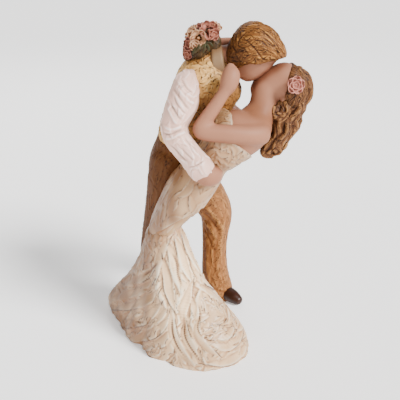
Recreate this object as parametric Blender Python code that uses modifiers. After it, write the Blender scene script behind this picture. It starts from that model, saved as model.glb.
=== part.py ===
"""Courting couple figurine: a groom bends over his bride in a dance dip, cast in one piece in
resin on the spread train of her dress, with her bouquet held behind his shoulders.

The casting is sculpted here from lofted limbs, bodies, drapery and locks, which are fused into
one skin, thinned to a light faceted solid and cut flat underneath. Places and radii of the
free form are in sculptor's millimetres, for a figurine 280 mm high, and grow with HEIGHT.
"""

import bmesh
import bpy
import math
import numpy as np

# Driving dimensions, in metres
HEIGHT = 0.280  # underside to the crown of the groom's hair
RESIN_GRAIN = 0.00115  # cell of the fused skin
FACET_BUDGET = 9500  # triangles of the finished solid

# Depths of the carving, in the sculpture's millimetres
CREASE = 0.8
STROKE = 0.9
STRAND = 0.9
FOLD = 3.2

SCULPTED_HEIGHT = 282.1  # height of the sculpture in its own millimetres
UNIT = HEIGHT / SCULPTED_HEIGHT
FOOTPRINT_CENTRE = (-0.5, 6.3)  # where the middle of the bounding box lies in the sculpture
SINK = 3.0  # how far the train and the shoes run below the floor before the flat cut

# The front elevation, a drawing 400 wide seen from EYE_DISTANCE away and EYE_RISE degrees up
EYE_DISTANCE = 500.0
EYE_RISE = 25.0
EYE_AIM = 135.0
EYE_FOCAL = 588.0

# Ways the figures face: each is the figure's own left
GROOM_LEFT = ((0.20, 0.98, 0.0), (0.41, 0.91, 0.03))
BRIDE_LEFT = ((0.0, -1.0, 0.0), (0.17, -0.98, -0.10))


def smooth_rows(rows, steps):
    """Catmull-Rom curve through rows of numbers, with a number of steps to each span."""
    rows = np.asarray(rows, float)
    padded = np.vstack([2 * rows[0] - rows[1], rows, 2 * rows[-1] - rows[-2]])
    found = []
    for i in range(len(rows) - 1):
        a, b, c, d = padded[i : i + 4]
        t = np.linspace(0, 1, steps, endpoint=False)[:, None]
        found.append(
            0.5 * (2 * b + (c - a) * t + (2 * a - 5 * b + 4 * c - d) * t**2 + (3 * b - a - 3 * c + d) * t**3)
        )
    return np.vstack(found + [rows[-1:]])


def unit_rows(vectors):
    """Each row scaled to length one."""
    return vectors / np.maximum(np.linalg.norm(vectors, axis=1, keepdims=True), 1e-9)


def drawn(rows):
    """Rows of (right, down, Y, radii) on the front elevation as rows of (X, Y, Z, radii)."""
    rows = np.asarray(rows, float)
    turn = math.radians(EYE_RISE)
    cos, sin = math.cos(turn), math.sin(turn)
    right, up = (rows[:, 0] - 200) / EYE_FOCAL, (200 - rows[:, 1]) / EYE_FOCAL
    ways = np.stack([right, cos + up * sin, up * cos - sin], axis=1)
    eye = np.array([0.0, -cos * EYE_DISTANCE, EYE_AIM + sin * EYE_DISTANCE])
    places = eye + ways * ((rows[:, 2] - eye[1]) / ways[:, 1])[:, None]
    return np.hstack([places, rows[:, 3:]]).tolist()


def ring_mesh(rings, start, end):
    """A closed skin over rings of points, shut by a point at each end."""
    count, sides = rings.shape[:2]
    points = np.vstack([rings.reshape(-1, 3), start, end])
    faces = []
    for i in range(count - 1):
        for j in range(sides):
            k = (j + 1) % sides
            faces.append((i * sides + j, i * sides + k, (i + 1) * sides + k, (i + 1) * sides + j))
    first, last = count * sides, count * sides + 1
    for j in range(sides):
        k = (j + 1) % sides
        faces.append((k, j, first))
        faces.append(((count - 1) * sides + j, (count - 1) * sides + k, last))
    return points, faces


def loft(stations, left, sides=28, steps=5, dome=(0.7, 0.7), power=2.0, relief=None):
    """A body along a curve. A station is its centre and its left, front, right and back radii.

    left is the figure's left at the first and last station; dome rounds each end, as a share
    of the end's radius; relief(angle, share) adds millimetres outwards.
    """
    rows = smooth_rows(stations, steps)
    centres, radii = rows[:, :3], np.maximum(rows[:, 3:7], 0.3)
    along = unit_rows(np.gradient(centres, axis=0))
    share = np.linspace(0, 1, len(rows))[:, None]
    across = (1 - share) * np.array(left[0]) + share * np.array(left[1])
    front = unit_rows(np.cross(across, along))
    across = unit_rows(np.cross(along, front))
    angle = np.linspace(0, 2 * math.pi, sides, endpoint=False)
    c, s = np.cos(angle), np.sin(angle)
    round_c = np.sign(c) * np.abs(c) ** (2 / power)
    round_s = np.sign(s) * np.abs(s) ** (2 / power)
    wide = np.where(c[None] > 0, radii[:, :1], radii[:, 2:3]) * round_c
    deep = np.where(s[None] > 0, radii[:, 1:2], radii[:, 3:4]) * round_s
    if relief:
        grow = 1 + relief(angle[None], share) / np.maximum(np.hypot(wide, deep), 1.0)
        wide, deep = wide * grow, deep * grow
    rings = centres[:, None] + across[:, None] * wide[..., None] + front[:, None] * deep[..., None]
    ends = []
    for which, way in ((0, -1.0), (-1, 1.0)):
        centre, ring, size = centres[which], rings[which], radii[which].mean() * dome[which]
        caps = [
            centre + (ring - centre) * math.cos(a) + way * along[which] * size * math.sin(a)
            for a in np.radians((30, 60))
        ]
        ends.append((caps, centre + way * along[which] * size))
    rings = np.concatenate([np.array(ends[0][0][::-1]), rings, np.array(ends[1][0])])
    return ring_mesh(rings, ends[0][1][None], ends[1][1][None])


def limb(stations, sides=16, steps=5, dome=(0.8, 0.8), flat=1.0, left=(0.0, 1.0, 0.0), relief=None):
    """A round limb: a station is its centre and its radius; flat presses it across its left."""
    rows = [(x, y, z, r, r * flat, r, r * flat) for x, y, z, r in stations]
    return loft(rows, (left, left), sides, steps, dome, 2.0, relief)


def cloth_creases(angle, share):
    """Carved creases of trousers, which wander as they run down the leg."""
    wander = angle + 0.5 * np.sin(9 * share) + 0.8 * share
    return CREASE * (np.abs(np.sin(3 * wander)) + 0.7 * np.abs(np.sin(5 * wander + 6 * share)) - 1.0)


def sleeve_folds(angle, share):
    """Soft folds that gather round the bend of a sleeve."""
    gather = np.exp(-(((share - 0.62) / 0.22) ** 2))
    return CREASE * (0.35 + gather) * np.sin(26 * share + 1.8 * np.sin(angle + 0.6) + angle)


def stroke_relief(angle, share):
    """Broad strokes laid slantwise over the fitted dress."""
    slant = 3 * angle - 16 * share
    return STROKE * (np.abs(np.sin(slant)) + 0.6 * np.abs(np.sin(2 * angle + 23 * share)) - 1.0)


def strand_relief(angle, share):
    """Carved strands that twist along a lock of hair."""
    return STRAND * np.sin(3 * angle + 9 * share)


def egg(centre, radii, up=(0, 0, 1), left=(0, 1, 0)):
    """An ellipsoid with half sizes along its left, front and up."""
    centre, up = np.array(centre, float), np.array(up, float)
    up = up / np.linalg.norm(up)
    turns = np.radians((-72, -50, -25, 0, 25, 50, 72))
    rows = [
        (*(centre + up * radii[2] * math.sin(a)), *([radii[0] * math.cos(a), radii[1] * math.cos(a)] * 2))
        for a in turns
    ]
    return loft(rows, (left, left), 20, 2, (0.2, 0.2))


def head_rows(centre, up, front, rows, scale=1.0):
    """Head stations from rows of height, forward shift and half sizes in the head's own frame."""
    centre, up, front = (np.array(v, float) for v in (centre, up, front))
    found = []
    for height, forward, wide, fore, back in rows:
        place = centre + scale * (up * height + front * forward)
        found.append((*place, wide * scale, fore * scale, wide * scale, back * scale))
    return found


def head(centre, up, front, left, scale, relief=None, sides=28, steps=4):
    """A plain egg-shaped head with a jaw, no features, from the chin to the crown."""
    rows = (
        (-20.5, 5.0, 4.0, 4.5, 5.5),
        (-18.5, 4.4, 7.5, 7.6, 8.6),
        (-14.0, 3.0, 10.6, 11.2, 12.0),
        (-7.5, 1.0, 12.9, 14.6, 15.3),
        (0.0, -0.5, 14.0, 16.0, 17.0),
        (7.0, -1.5, 14.5, 16.5, 18.0),
        (13.5, -2.0, 13.0, 14.5, 16.5),
        (18.0, -2.2, 9.5, 10.5, 12.0),
        (20.5, -2.2, 4.5, 4.5, 5.0),
    )
    stations = head_rows(centre, up, front, rows, scale)
    return loft(stations, (left, left), sides, steps, (0.3, 0.3), 2.0, relief)


def groom_legs():
    """Both trouser legs, the pelvis and the shoes."""
    pelvis = loft(
        (
            (-18, 20, 134, 17, 14, 17, 16),
            (-19, 20, 144, 24, 18, 24, 22),
            (-19, 20, 156, 25.5, 18.5, 25.5, 25),
            (-18, 19.5, 168, 24, 18, 24, 24),
            (-16, 19, 182, 23, 18, 23, 20),
            (-13, 18.5, 195, 24.5, 20, 24.5, 19),
        ),
        GROOM_LEFT,
        power=2.2,
    )
    near = limb(
        (
            (-25, 9, 168, 17.0),
            (-26, 8.5, 152, 18.6),
            (-29, 10, 135, 17.6),
            (-34, 14, 110, 16.0),
            (-38.5, 20, 90, 14.8),
            (-43, 27, 62, 13.4),
            (-46, 34, 35, 12.6),
            (-48, 38, 14, 13.2),
            (-48.5, 39, 6, 13.2),
        ),
        sides=30,
        relief=cloth_creases,
    )
    far = limb(
        (
            (-16, 30, 168, 16.0),
            (-13, 32, 152, 17.6),
            (-3, 40, 135, 17.8),
            (7, 49, 117, 17.0),
            (14.5, 56, 100, 15.6),
            (16, 58, 88, 14.4),
            (15, 58, 72, 12.6),
            (14.5, 58, 53, 11.9),
            (15, 57, 34, 12.8),
            (17, 57, 20, 13.4),
            (19, 56.5, 9, 14.0),
            (20, 56, 2, 14.2),
        ),
        sides=30,
        relief=cloth_creases,
    )
    shoes = [
        limb(
            ((12, 60, 6, 8), (22, 54, 6.5, 8), (29, 48.5, 6.5, 7.8), (34.5, 43, 6, 7), (38.5, 39.5, 4.8, 5.4))
        ),
        limb(((-57, 43, 5, 7.5), (-48, 39, 7, 8.5), (-36, 35, 6, 8.0), (-25, 31, 4, 7.2)), flat=0.9),
    ]
    return [pelvis, near, far, *shoes]


def groom_torso():
    """The waistcoat from the hips to the neck, with the shirt's collar."""
    waistcoat = loft(
        (
            (-14, 18.5, 189, 24.8, 21, 24.8, 20.5),
            (-12, 18, 197, 25.5, 23, 25.5, 20),
            (-6, 16, 212, 28, 28, 28, 21),
            (1, 14, 226, 29, 30.5, 29, 22.5),
            (7, 13, 238, 27, 29, 27, 22.5),
            (12, 12, 247, 19, 22, 19, 17.5),
            (16, 11, 252, 13, 13, 13, 13),
        ),
        GROOM_LEFT,
        sides=36,
        power=2.3,
    )
    collar = limb(((12, 10, 249.5, 14.2), (16, 9.5, 250.2, 13.8), (19.5, 9, 251, 13.2)), dome=(0.2, 0.2))
    neck = limb(((14, 10.5, 252, 10.3), (24, 8.5, 254.5, 10), (36, 6, 256, 10.5)))
    return [waistcoat, collar, neck]


def groom_arms():
    """Both sleeves with their turned cuffs, and both hands."""
    near = limb(
        drawn(
            (
                (189, 75, -8, 5.5),
                (186.3, 81, -15, 8.8),
                (184.5, 92, -22, 10.8),
                (182, 103, -27, 11.6),
                (177.5, 113, -30, 10.8),
                (174.2, 123, -31, 10.0),
                (174.5, 131, -33, 10.0),
                (180, 142, -36, 9.5),
                (188, 152, -39, 8.9),
                (196, 162, -42, 8.6),
            )
        ),
        sides=24,
        relief=sleeve_folds,
    )
    near_cuff = limb(
        drawn(((194, 160, -41, 9.4), (198.5, 165, -42.5, 9.8), (202.5, 170, -43.5, 9.6))), dome=(0.2, 0.2)
    )
    far = limb(
        (
            (11, 32, 243, 11.0),
            (18, 42, 240, 11.5),
            (21, 48, 226, 11.5),
            (24, 51, 210, 11.0),
            (27, 49, 200, 10.8),
            (36, 38, 193, 9.8),
            (44, 25, 188, 8.8),
            (47, 20, 186, 8.6),
        ),
        sides=24,
        relief=sleeve_folds,
    )
    far_cuff = limb(((43, 27, 189, 9.4), (48, 17, 186, 9.5)), dome=(0.2, 0.2))
    near_hand = limb(
        (
            (0, -44.5, 180, 7.4),
            (5, -43.5, 176.5, 8.8),
            (9.5, -40, 174.5, 7.9),
            (12.5, -34, 173.5, 5.6),
            (13, -29, 173, 4.0),
        )
    )
    far_hand = limb(((45, 24, 188, 6.5), (48, 16, 190, 7.8), (49, 9, 191, 7.0), (49, 3, 192, 4.5)))
    return [near, near_cuff, far, far_cuff, near_hand, far_hand]


GROOM_HEAD = ((44, 4.5, 257.5), (0.62, 0, 0.785), (0.785, -0.05, -0.62), (0.05, 1, 0.02))
BRIDE_HEAD = ((61.3, 5, 233.7), (0.88, 0, 0.47), (-0.47, 0, 0.88), (0, -1, 0))


def hairline(angle, share, front_at, side_at, back_at, peak):
    """Where the hair begins, as a share of the head's height, at each angle round the head."""
    fore = np.clip(np.sin(angle), 0, 1) ** peak
    rear = np.clip(-np.sin(angle), 0, 1) ** 1.2
    return side_at + (front_at - side_at) * fore + (back_at - side_at) * rear


def groom_hair_relief(angle, share):
    """Short hair that stands off the head, brushed forward in shallow grooves."""
    cover = np.clip((share - hairline(angle, share, 0.70, 0.40, 0.20, 1.6)) / 0.04, 0, 1)
    grooves = np.sin(9 * angle + 14 * share + 1.5 * np.sin(3 * angle)) * np.clip(1.4 - share, 0, 1)
    nape = 4.0 * np.clip(-np.sin(angle), 0, 1) * np.exp(-(((share - 0.3) / 0.35) ** 2))
    fringe = 2.4 * np.clip(np.sin(angle), 0, 1) ** 2 * np.exp(-(((share - 0.7) / 0.13) ** 2))
    return -1.5 + cover * (4.4 + nape + fringe + STRAND * grooves)


def bride_hair_relief(angle, share):
    """Hair drawn back from the forehead, fuller at the back of the head."""
    cover = np.clip((share - hairline(angle, share, 0.83, 0.60, 0.33, 1.5)) / 0.05, 0, 1)
    full = 6.0 * np.clip(-np.sin(angle), 0, 1) * np.exp(-(((share - 0.75) / 0.35) ** 2))
    grooves = np.sin(10 * angle + 8 * share) * np.clip(1.4 - share, 0, 1)
    return -1.5 + cover * (4.2 + full + STRAND * grooves)


def heads():
    """Both heads with their hair, set mouth to mouth."""
    groom_skull = head(*GROOM_HEAD, 1.0)
    groom_hair = head(*GROOM_HEAD, 1.0, groom_hair_relief, 48, 6)
    bride_skull = head(*BRIDE_HEAD, 0.98)
    bride_hair = head(*BRIDE_HEAD, 0.98, bride_hair_relief, 48, 6)
    lobe = egg(drawn(((284, 99, -9),))[0], (1.6, 2.2, 3.0), (0.77, 0, 0.64))
    return [groom_skull, groom_hair, bride_skull, bride_hair, lobe]


def bride_body():
    """Her shoulders, back, neck and arms."""
    torso = loft(
        (
            (10, -19, 180, 16, 12, 16, 12),
            (18, -18, 187, 18.5, 19, 18.5, 14),
            (26.5, -16, 195, 20.5, 20, 20.5, 17.5),
            (36, -12, 201, 21.5, 18, 21.5, 17.5),
            (43, -9, 206, 19.5, 15.5, 19.5, 14.5),
            (47.5, -6, 213, 12, 11, 12, 9.5),
        ),
        BRIDE_LEFT,
    )
    neck = loft(
        (
            (45, -8, 209, 11, 15, 11, 13),
            (49, -5, 216, 10, 12, 10, 12),
            (51, -2, 222, 10, 11.5, 10, 11.5),
            (53, 1, 228, 10.5, 12.5, 10.5, 12),
            (57, 4, 233, 11, 12, 11, 11),
        ),
        BRIDE_LEFT,
    )
    near_arm = limb(
        (
            (42, -20, 204, 9.5),
            (46, -26, 203, 9.0),
            (37, -32, 204, 7.8),
            (22, -35, 206, 7.2),
            (6, -36, 207.5, 6.8),
            (0.5, -35.5, 209.5, 6.3),
            (4, -33, 216, 5.9),
            (9, -31, 223, 5.5),
            (16, -28, 233, 4.9),
            (18.5, -27, 237, 4.8),
        ),
        sides=18,
    )
    near_hand = limb(
        (
            (18.5, -26.5, 236, 4.9),
            (21, -25, 241, 6.8),
            (22.8, -22, 246.5, 7.3),
            (22.8, -19.5, 251, 5.8),
            (22.6, -18.5, 253.5, 3.4),
        )
    )
    far_arm = limb(
        (
            (40, 5, 206, 9.0),
            (45, 12, 207, 8.6),
            (52, 28, 222, 7.2),
            (54, 43, 240, 6.5),
            (49, 44, 249, 5.9),
            (39, 38, 257, 5.2),
            (27, 30, 261.5, 4.8),
            (18, 24, 262.5, 5.0),
            (9, 18, 262, 5.2),
        ),
        sides=18,
    )
    return [torso, neck, near_arm, near_hand, far_arm]


def train_outline(angle):
    """Distance of the train's hem from its middle at each angle, smooth through the hem's points."""
    middle = np.array(TRAIN_MIDDLE)
    points = np.array(TRAIN_HEM) - middle
    bearings = np.unwrap(np.arctan2(points[:, 1], points[:, 0]))
    reach = np.hypot(points[:, 0], points[:, 1])
    order = np.argsort(bearings % (2 * math.pi))
    bearings, reach = bearings[order] % (2 * math.pi), reach[order]
    bearings = np.concatenate([bearings[-3:] - 2 * math.pi, bearings, bearings[:3] + 2 * math.pi])
    reach = np.concatenate([reach[-3:], reach, reach[:3]])
    return np.interp(angle % (2 * math.pi), bearings, reach)


TRAIN_MIDDLE = (-24.0, -8.0)
TRAIN_HEM = (
    (-92, 42), (-82, 18), (-70, -3), (-53, -26), (-34, -45), (-11, -55), (14, -58), (34, -48),
    (43, -27), (38, -9), (22, 3), (0, 12), (-26, 22), (-52, 36), (-76, 47),
)


def dress_folds(angle, share):
    """Folds of the skirt, which swing round as they run down into the train."""
    depth = np.clip((share - 0.42) / 0.5, 0, 1) ** 1.2
    swing = angle + 2.6 * share
    broad = np.abs(np.sin(3.5 * swing)) ** 0.7
    fine = np.abs(np.sin(8 * swing + 2.5 * np.sin(2 * angle) + 5 * share)) ** 0.8
    return depth * FOLD * (broad + 0.6 * fine - 0.9)


def dress():
    """The fitted dress from the bust to the knees, and the train that spreads on the floor."""
    fitted = loft(
        (
            (33, -14, 199.5, 22, 18.5, 22, 18.2),
            (26.5, -16, 195, 22, 22, 22, 18.5),
            (18, -18, 187, 20, 20.5, 20, 15.5),
            (10, -19, 180, 18, 15, 18, 13.8),
            (2, -20, 169, 22, 16.5, 22, 15.5),
            (-8, -20, 154, 25, 18.5, 25, 16),
            (-16, -18, 140, 23.5, 17.5, 22.5, 14.5),
            (-24, -15, 127, 19.5, 15, 18.5, 12),
            (-30, -11, 115, 14.5, 12.5, 14, 10),
            (-33, -9, 104, 9, 9, 9, 8),
        )[::-1],
        BRIDE_LEFT,
        sides=44,
        dome=(0.5, 0.15),
        relief=stroke_relief,
    )
    under_thigh = limb(
        drawn(((168, 228, -12, 9.5), (174.8, 220.4, -13, 7), (186.7, 213.8, -15, 4.5), (197.4, 209.5, -17, 2.2)))
    )
    return [fitted, under_thigh, train()]


# How far the train has opened from the knees' round to the hem, at shares of its fall
TRAIN_FALL = (0.0, 0.11, 0.22, 0.30, 0.38, 0.51, 0.60, 0.70, 0.76, 0.83, 0.90, 0.97, 1.0)
TRAIN_OPEN = (0.0, 0.08, 0.16, 0.215, 0.285, 0.43, 0.56, 0.69, 0.78, 0.885, 0.955, 0.995, 1.0)


def train():
    """Level sections from the knees to the hem, each part way from a round to the hem's outline."""
    sides, levels = 96, 36
    angle = np.linspace(0, 2 * math.pi, sides, endpoint=False)
    hem = train_outline(angle)
    top, knee, knee_radius = 118.0, np.array((-30.5, -11.0)), 13.2
    rings = []
    for share in np.linspace(0, 1, levels):
        height = top * (1 - share)
        spread = float(np.interp(share, TRAIN_FALL, TRAIN_OPEN))
        middle = knee + (np.array(TRAIN_MIDDLE) - knee) * spread
        reach = knee_radius + (hem - knee_radius) * spread
        reach = reach + dress_folds(angle, 0.45 + 0.55 * share) * (0.25 + 0.75 * spread)
        ring = np.stack(
            [
                middle[0] + reach * np.cos(angle),
                middle[1] + reach * np.sin(angle),
                np.full(sides, height),
            ],
            axis=1,
        )
        rings.append(ring)
    sunk = rings[-1].copy()
    sunk[:, 2] = -SINK
    rings.append(sunk)
    rings = np.array(rings)[::-1]
    return ring_mesh(rings, rings[0].mean(0)[None], rings[-1].mean(0)[None] + (0, 0, 4))


# Locks of her hair on the front elevation: right, down, depth and radius
LOCKS = (
    ((298, 70, 3, 4), (303, 79, 2, 6), (305, 90, 1, 6.5), (303, 97, 0, 6), (297, 104, -2, 5.5), (290, 106, -5, 4)),
    (
        (298, 96, -4, 5), (299, 106, -4, 5.6), (294, 113, -5, 5.6), (290, 120, -5, 5.2), (293, 126, -4, 4.6),
        (289, 133, -4, 4.2), (285, 138, -4, 3),
    ),
    (
        (300, 102, 4, 5), (296, 111, 3, 5.2), (296, 119, 2, 5), (294, 125, 2, 4.8), (289, 131, 1, 4.6),
        (285, 138, 0, 4.2), (283, 144, -2, 4.2), (279, 149, -3, 2.6),
    ),
    (
        (284, 104, -6, 4.5), (281, 112, -7, 5.2), (279, 121, -7, 5.6), (279, 131, -6, 5.6), (275, 140, -6, 5.4),
        (269, 147, -6, 5), (266, 151, -6, 4), (272, 154, -6, 2.6),
    ),
    ((285, 102, -8, 2.6), (287, 109, -9.5, 3.2), (282, 115, -10, 3.4), (276, 113, -10, 3.2), (275, 107, -9, 2.6)),
    (
        (286, 118, -7, 4), (287, 128, -8, 4.6), (281, 137, -8, 4.8), (277, 145, -8, 4.6), (279, 150, -7, 3.4),
        (274, 153, -6, 2.2),
    ),
    ((297, 95, 12, 6), (291, 108, 13, 6), (285, 120, 12, 6), (279, 132, 11, 5.5), (274, 143, 10, 4.5)),
    ((289, 100, 4, 8), (283, 112, 4, 8), (279, 125, 3, 7), (275, 138, 2, 6), (271, 147, 1, 4)),
)


def bride_curls():
    """Her long hair, falling from the back of her head in waved locks."""
    return [limb(drawn(rows), 18, 4, (0.9, 0.9), relief=strand_relief) for rows in LOCKS]


def flower(centre, out, radius, petals=5):
    """An open blossom: a ring of round petals about a small heart, facing out."""
    out = np.array(out, float) / np.linalg.norm(out)
    side = np.cross(out, (0.1, 0, 1))
    side = side / np.linalg.norm(side)
    other = np.cross(out, side)
    found = [egg(centre, (radius * 0.35,) * 3, out, side)]
    for i in range(petals):
        turn = 2 * math.pi * i / petals
        way = side * math.cos(turn) + other * math.sin(turn)
        place = np.array(centre) + way * radius * 0.62 + out * radius * 0.10
        found.append(egg(place, (radius * 0.42, radius * 0.42, radius * 0.30), out - way * 0.5, side))
    return found


def flowers():
    """The bouquet behind his shoulders and the rose in her hair."""
    found = []
    bunch = (
        ((208, 30, 2), (0.1, -0.8, 0.6), 6.3),
        ((215.5, 26, 8), (0.5, -0.4, 0.8), 4.4),
        ((198.5, 37, -2), (-0.1, -0.95, 0.3), 5.2),
        ((190, 42.5, 0), (-0.6, -0.8, 0.1), 4.4),
        ((187.5, 48, 4), (-0.8, -0.6, -0.1), 3.6),
        ((192, 34, 3), (-0.6, -0.6, 0.5), 4.8),
        ((199.5, 27.5, 9), (-0.3, -0.4, 0.9), 4.6),
        ((207, 24.5, 14), (0.0, -0.1, 1.0), 4.2),
        ((191, 38, 14), (-0.9, 0.3, 0.4), 5.0),
        ((200, 28, 20), (-0.2, 0.6, 0.8), 5.0),
        ((212, 29, 20), (0.4, 0.7, 0.7), 5.0),
        ((296, 85.5, -13), (0.1, -0.97, 0.2), 5.0),
    )
    for place, out, radius in bunch:
        found += flower(drawn((place,))[0], out, radius * 1.1)
    stems = (
        ((212, 33, 8, 3.6), (216, 40, 8, 3.6), (215, 47, 6, 3.0)),
        ((190, 44, 8, 4.5), (188, 51, 7, 3.8), (187, 56, 6, 2.6)),
        ((204, 36, 8, 8.5), (202, 44, 6, 8.0), (199, 52, 4, 5.5)),
    )
    found += [limb(drawn(rows)) for rows in stems]
    return found


def mesh_object(name, shapes):
    """One mesh object from many closed skins, in metres, each with its faces pointing out."""
    grid = bmesh.new()
    for points, faces in shapes:
        made = bmesh.new()
        vertices = [made.verts.new(p * UNIT) for p in points]
        for face in faces:
            made.faces.new([vertices[i] for i in face])
        bmesh.ops.recalc_face_normals(made, faces=made.faces)
        loose = bpy.data.meshes.new(name)
        made.to_mesh(loose)
        made.free()
        grid.from_mesh(loose)
        bpy.data.meshes.remove(loose)
    data = bpy.data.meshes.new(name)
    grid.to_mesh(data)
    grid.free()
    made = bpy.data.objects.new(name, data)
    bpy.context.scene.collection.objects.link(made)
    return made


def settle(made):
    """Replace an object's mesh by its evaluated one, and clear its modifiers."""
    seen = made.evaluated_get(bpy.context.evaluated_depsgraph_get())
    data = bpy.data.meshes.new_from_object(seen)
    made.modifiers.clear()
    made.data = data


def keep_outer_skin(made):
    """Delete the skins of sealed bubbles between the limbs, which a casting fills."""
    grid = bmesh.new()
    grid.from_mesh(made.data)
    grid.verts.ensure_lookup_table()
    unseen, groups = set(grid.verts), []
    while unseen:
        front = [unseen.pop()]
        group = list(front)
        while front:
            vertex = front.pop()
            for edge in vertex.link_edges:
                other = edge.other_vert(vertex)
                if other in unseen:
                    unseen.remove(other)
                    front.append(other)
                    group.append(other)
        groups.append(group)
    groups.sort(key=len)
    bmesh.ops.delete(grid, geom=[v for group in groups[:-1] for v in group], context="VERTS")
    grid.to_mesh(made.data)
    grid.free()


def cut_flat(made):
    """Cut the casting at the floor and close the cut, then set it on its footprint's middle."""
    grid = bmesh.new()
    grid.from_mesh(made.data)
    everything = grid.verts[:] + grid.edges[:] + grid.faces[:]
    bmesh.ops.bisect_plane(grid, geom=everything, plane_co=(0, 0, 0), plane_no=(0, 0, -1), clear_outer=True)
    open_edges = [e for e in grid.edges if e.is_boundary]
    bmesh.ops.holes_fill(grid, edges=open_edges, sides=0)
    bmesh.ops.triangulate(grid, faces=[f for f in grid.faces if len(f.verts) > 3])
    bmesh.ops.recalc_face_normals(grid, faces=grid.faces)
    middle = (FOOTPRINT_CENTRE[0] * UNIT, FOOTPRINT_CENTRE[1] * UNIT)
    bmesh.ops.translate(grid, verts=grid.verts, vec=(-middle[0], -middle[1], 0))
    grid.to_mesh(made.data)
    grid.free()


def resin():
    """Painted cold-cast resin, warm ivory."""
    material = bpy.data.materials.new("painted_cast_resin")
    material.use_nodes = True
    shader = material.node_tree.nodes["Principled BSDF"]
    shader.inputs["Base Color"].default_value = (0.72, 0.60, 0.47, 1)
    shader.inputs["Roughness"].default_value = 0.5
    return material


def main():
    for old in list(bpy.data.objects):
        bpy.data.objects.remove(old)
    shapes = [
        *groom_legs(), *groom_torso(), *groom_arms(), *heads(),
        *bride_body(), *dress(), *bride_curls(), *flowers(),
    ]
    couple = mesh_object("courting_couple", shapes)
    fuse = couple.modifiers.new("fuse", "REMESH")
    fuse.mode = "VOXEL"
    fuse.voxel_size = RESIN_GRAIN
    soften = couple.modifiers.new("soften", "SMOOTH")
    soften.iterations = 3
    settle(couple)
    keep_outer_skin(couple)
    thin = couple.modifiers.new("thin", "DECIMATE")
    thin.ratio = FACET_BUDGET / (2 * len(couple.data.polygons))
    settle(couple)
    cut_flat(couple)
    couple.data.materials.clear()
    couple.data.materials.append(resin())
    group = bpy.data.collections.new("courting_couple_figurine")
    bpy.context.scene.collection.children.link(group)
    group.objects.link(couple)
    bpy.context.scene.collection.objects.unlink(couple)


main()
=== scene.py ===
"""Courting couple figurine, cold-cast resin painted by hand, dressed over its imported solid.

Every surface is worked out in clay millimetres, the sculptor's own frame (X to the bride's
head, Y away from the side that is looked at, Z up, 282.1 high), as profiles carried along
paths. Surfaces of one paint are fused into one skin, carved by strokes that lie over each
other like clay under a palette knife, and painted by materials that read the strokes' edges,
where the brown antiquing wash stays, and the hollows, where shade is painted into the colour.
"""

import logging
import math
from collections.abc import Callable, Iterable, Sequence
from dataclasses import dataclass, field
from enum import Enum
from typing import Any

import bpy
import numpy as np
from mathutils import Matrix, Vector
from mathutils.bvhtree import BVHTree
from numpy.typing import NDArray

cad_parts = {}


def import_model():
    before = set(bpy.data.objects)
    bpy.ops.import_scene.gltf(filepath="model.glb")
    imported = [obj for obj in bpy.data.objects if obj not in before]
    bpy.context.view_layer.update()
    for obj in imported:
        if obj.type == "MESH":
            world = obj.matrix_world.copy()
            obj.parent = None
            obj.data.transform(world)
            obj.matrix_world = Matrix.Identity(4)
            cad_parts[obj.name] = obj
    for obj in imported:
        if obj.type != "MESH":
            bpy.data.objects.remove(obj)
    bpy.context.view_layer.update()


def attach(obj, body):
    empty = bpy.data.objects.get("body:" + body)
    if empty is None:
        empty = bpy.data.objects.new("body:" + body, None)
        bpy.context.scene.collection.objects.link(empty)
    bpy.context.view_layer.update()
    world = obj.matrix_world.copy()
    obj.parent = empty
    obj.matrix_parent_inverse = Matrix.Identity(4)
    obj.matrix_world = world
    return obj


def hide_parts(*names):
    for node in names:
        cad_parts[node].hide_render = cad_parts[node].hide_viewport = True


Array = NDArray[np.float64]
Index = NDArray[np.int64]
Rows = Sequence[Sequence[float]]
Relief = Callable[[Array, Array], Array]
Flow = Callable[[Array], Array]

LOG = logging.getLogger("courting_couple")
NODE = "courting_couple"

HEIGHT_M = 0.280
CLAY_HEIGHT = 282.1
UNIT = HEIGHT_M / CLAY_HEIGHT
FOOT = np.array([-0.5, 6.3, 0.0])  # clay place that is the frame's origin
SINK = 3.0

GROOM_LEFT = ((0.20, 0.98, 0.0), (0.41, 0.91, 0.03))
BRIDE_LEFT = ((0.0, -1.0, 0.0), (0.17, -0.98, -0.10))


class Slot(Enum):
    """Material slot names, one kept with each piece."""

    DRESS = "dress_ivory"
    SKIN = "skin_paint"
    HAIR = "hair_brown"
    WAISTCOAT = "waistcoat_gold"
    SHIRT = "shirt_white"
    TROUSERS = "trousers_tan"
    SHOE = "shoe_brown"
    BLOSSOM = "blossom_pink"
    LEAF = "leaf_green"


def to_metres(points: Array) -> Array:
    """Clay millimetres to the frame's metres."""
    return (np.asarray(points, float) - FOOT) * UNIT


def unit(vectors: Array) -> Array:
    """Each vector scaled to length one."""
    return vectors / np.maximum(np.linalg.norm(vectors, axis=-1, keepdims=True), 1e-9)


def smooth_step(x: Array) -> Array:
    """0 below 0, 1 above 1, and 3x^2 - 2x^3 between."""
    x = np.clip(x, 0.0, 1.0)
    return x * x * (3.0 - 2.0 * x)


def smooth_rows(rows: Rows, steps: int) -> Array:
    """A Catmull-Rom curve through rows of numbers.

    Args:
        rows: the numbers to pass through.
        steps: how many points each span gets.

    Returns:
        The curve's rows, the last given one included.
    """
    rows = np.asarray(rows, float)
    padded = np.vstack([2 * rows[0] - rows[1], rows, 2 * rows[-1] - rows[-2]])
    a, b, c, d = (padded[i : len(rows) - 1 + i, None] for i in range(4))
    t = np.linspace(0, 1, steps, endpoint=False)[None, :, None]
    curve = 0.5 * (2 * b + (c - a) * t + (2 * a - 5 * b + 4 * c - d) * t**2 + (3 * b - a - 3 * c + d) * t**3)
    return np.vstack([curve.reshape(-1, rows.shape[1]), rows[-1:]])


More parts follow.
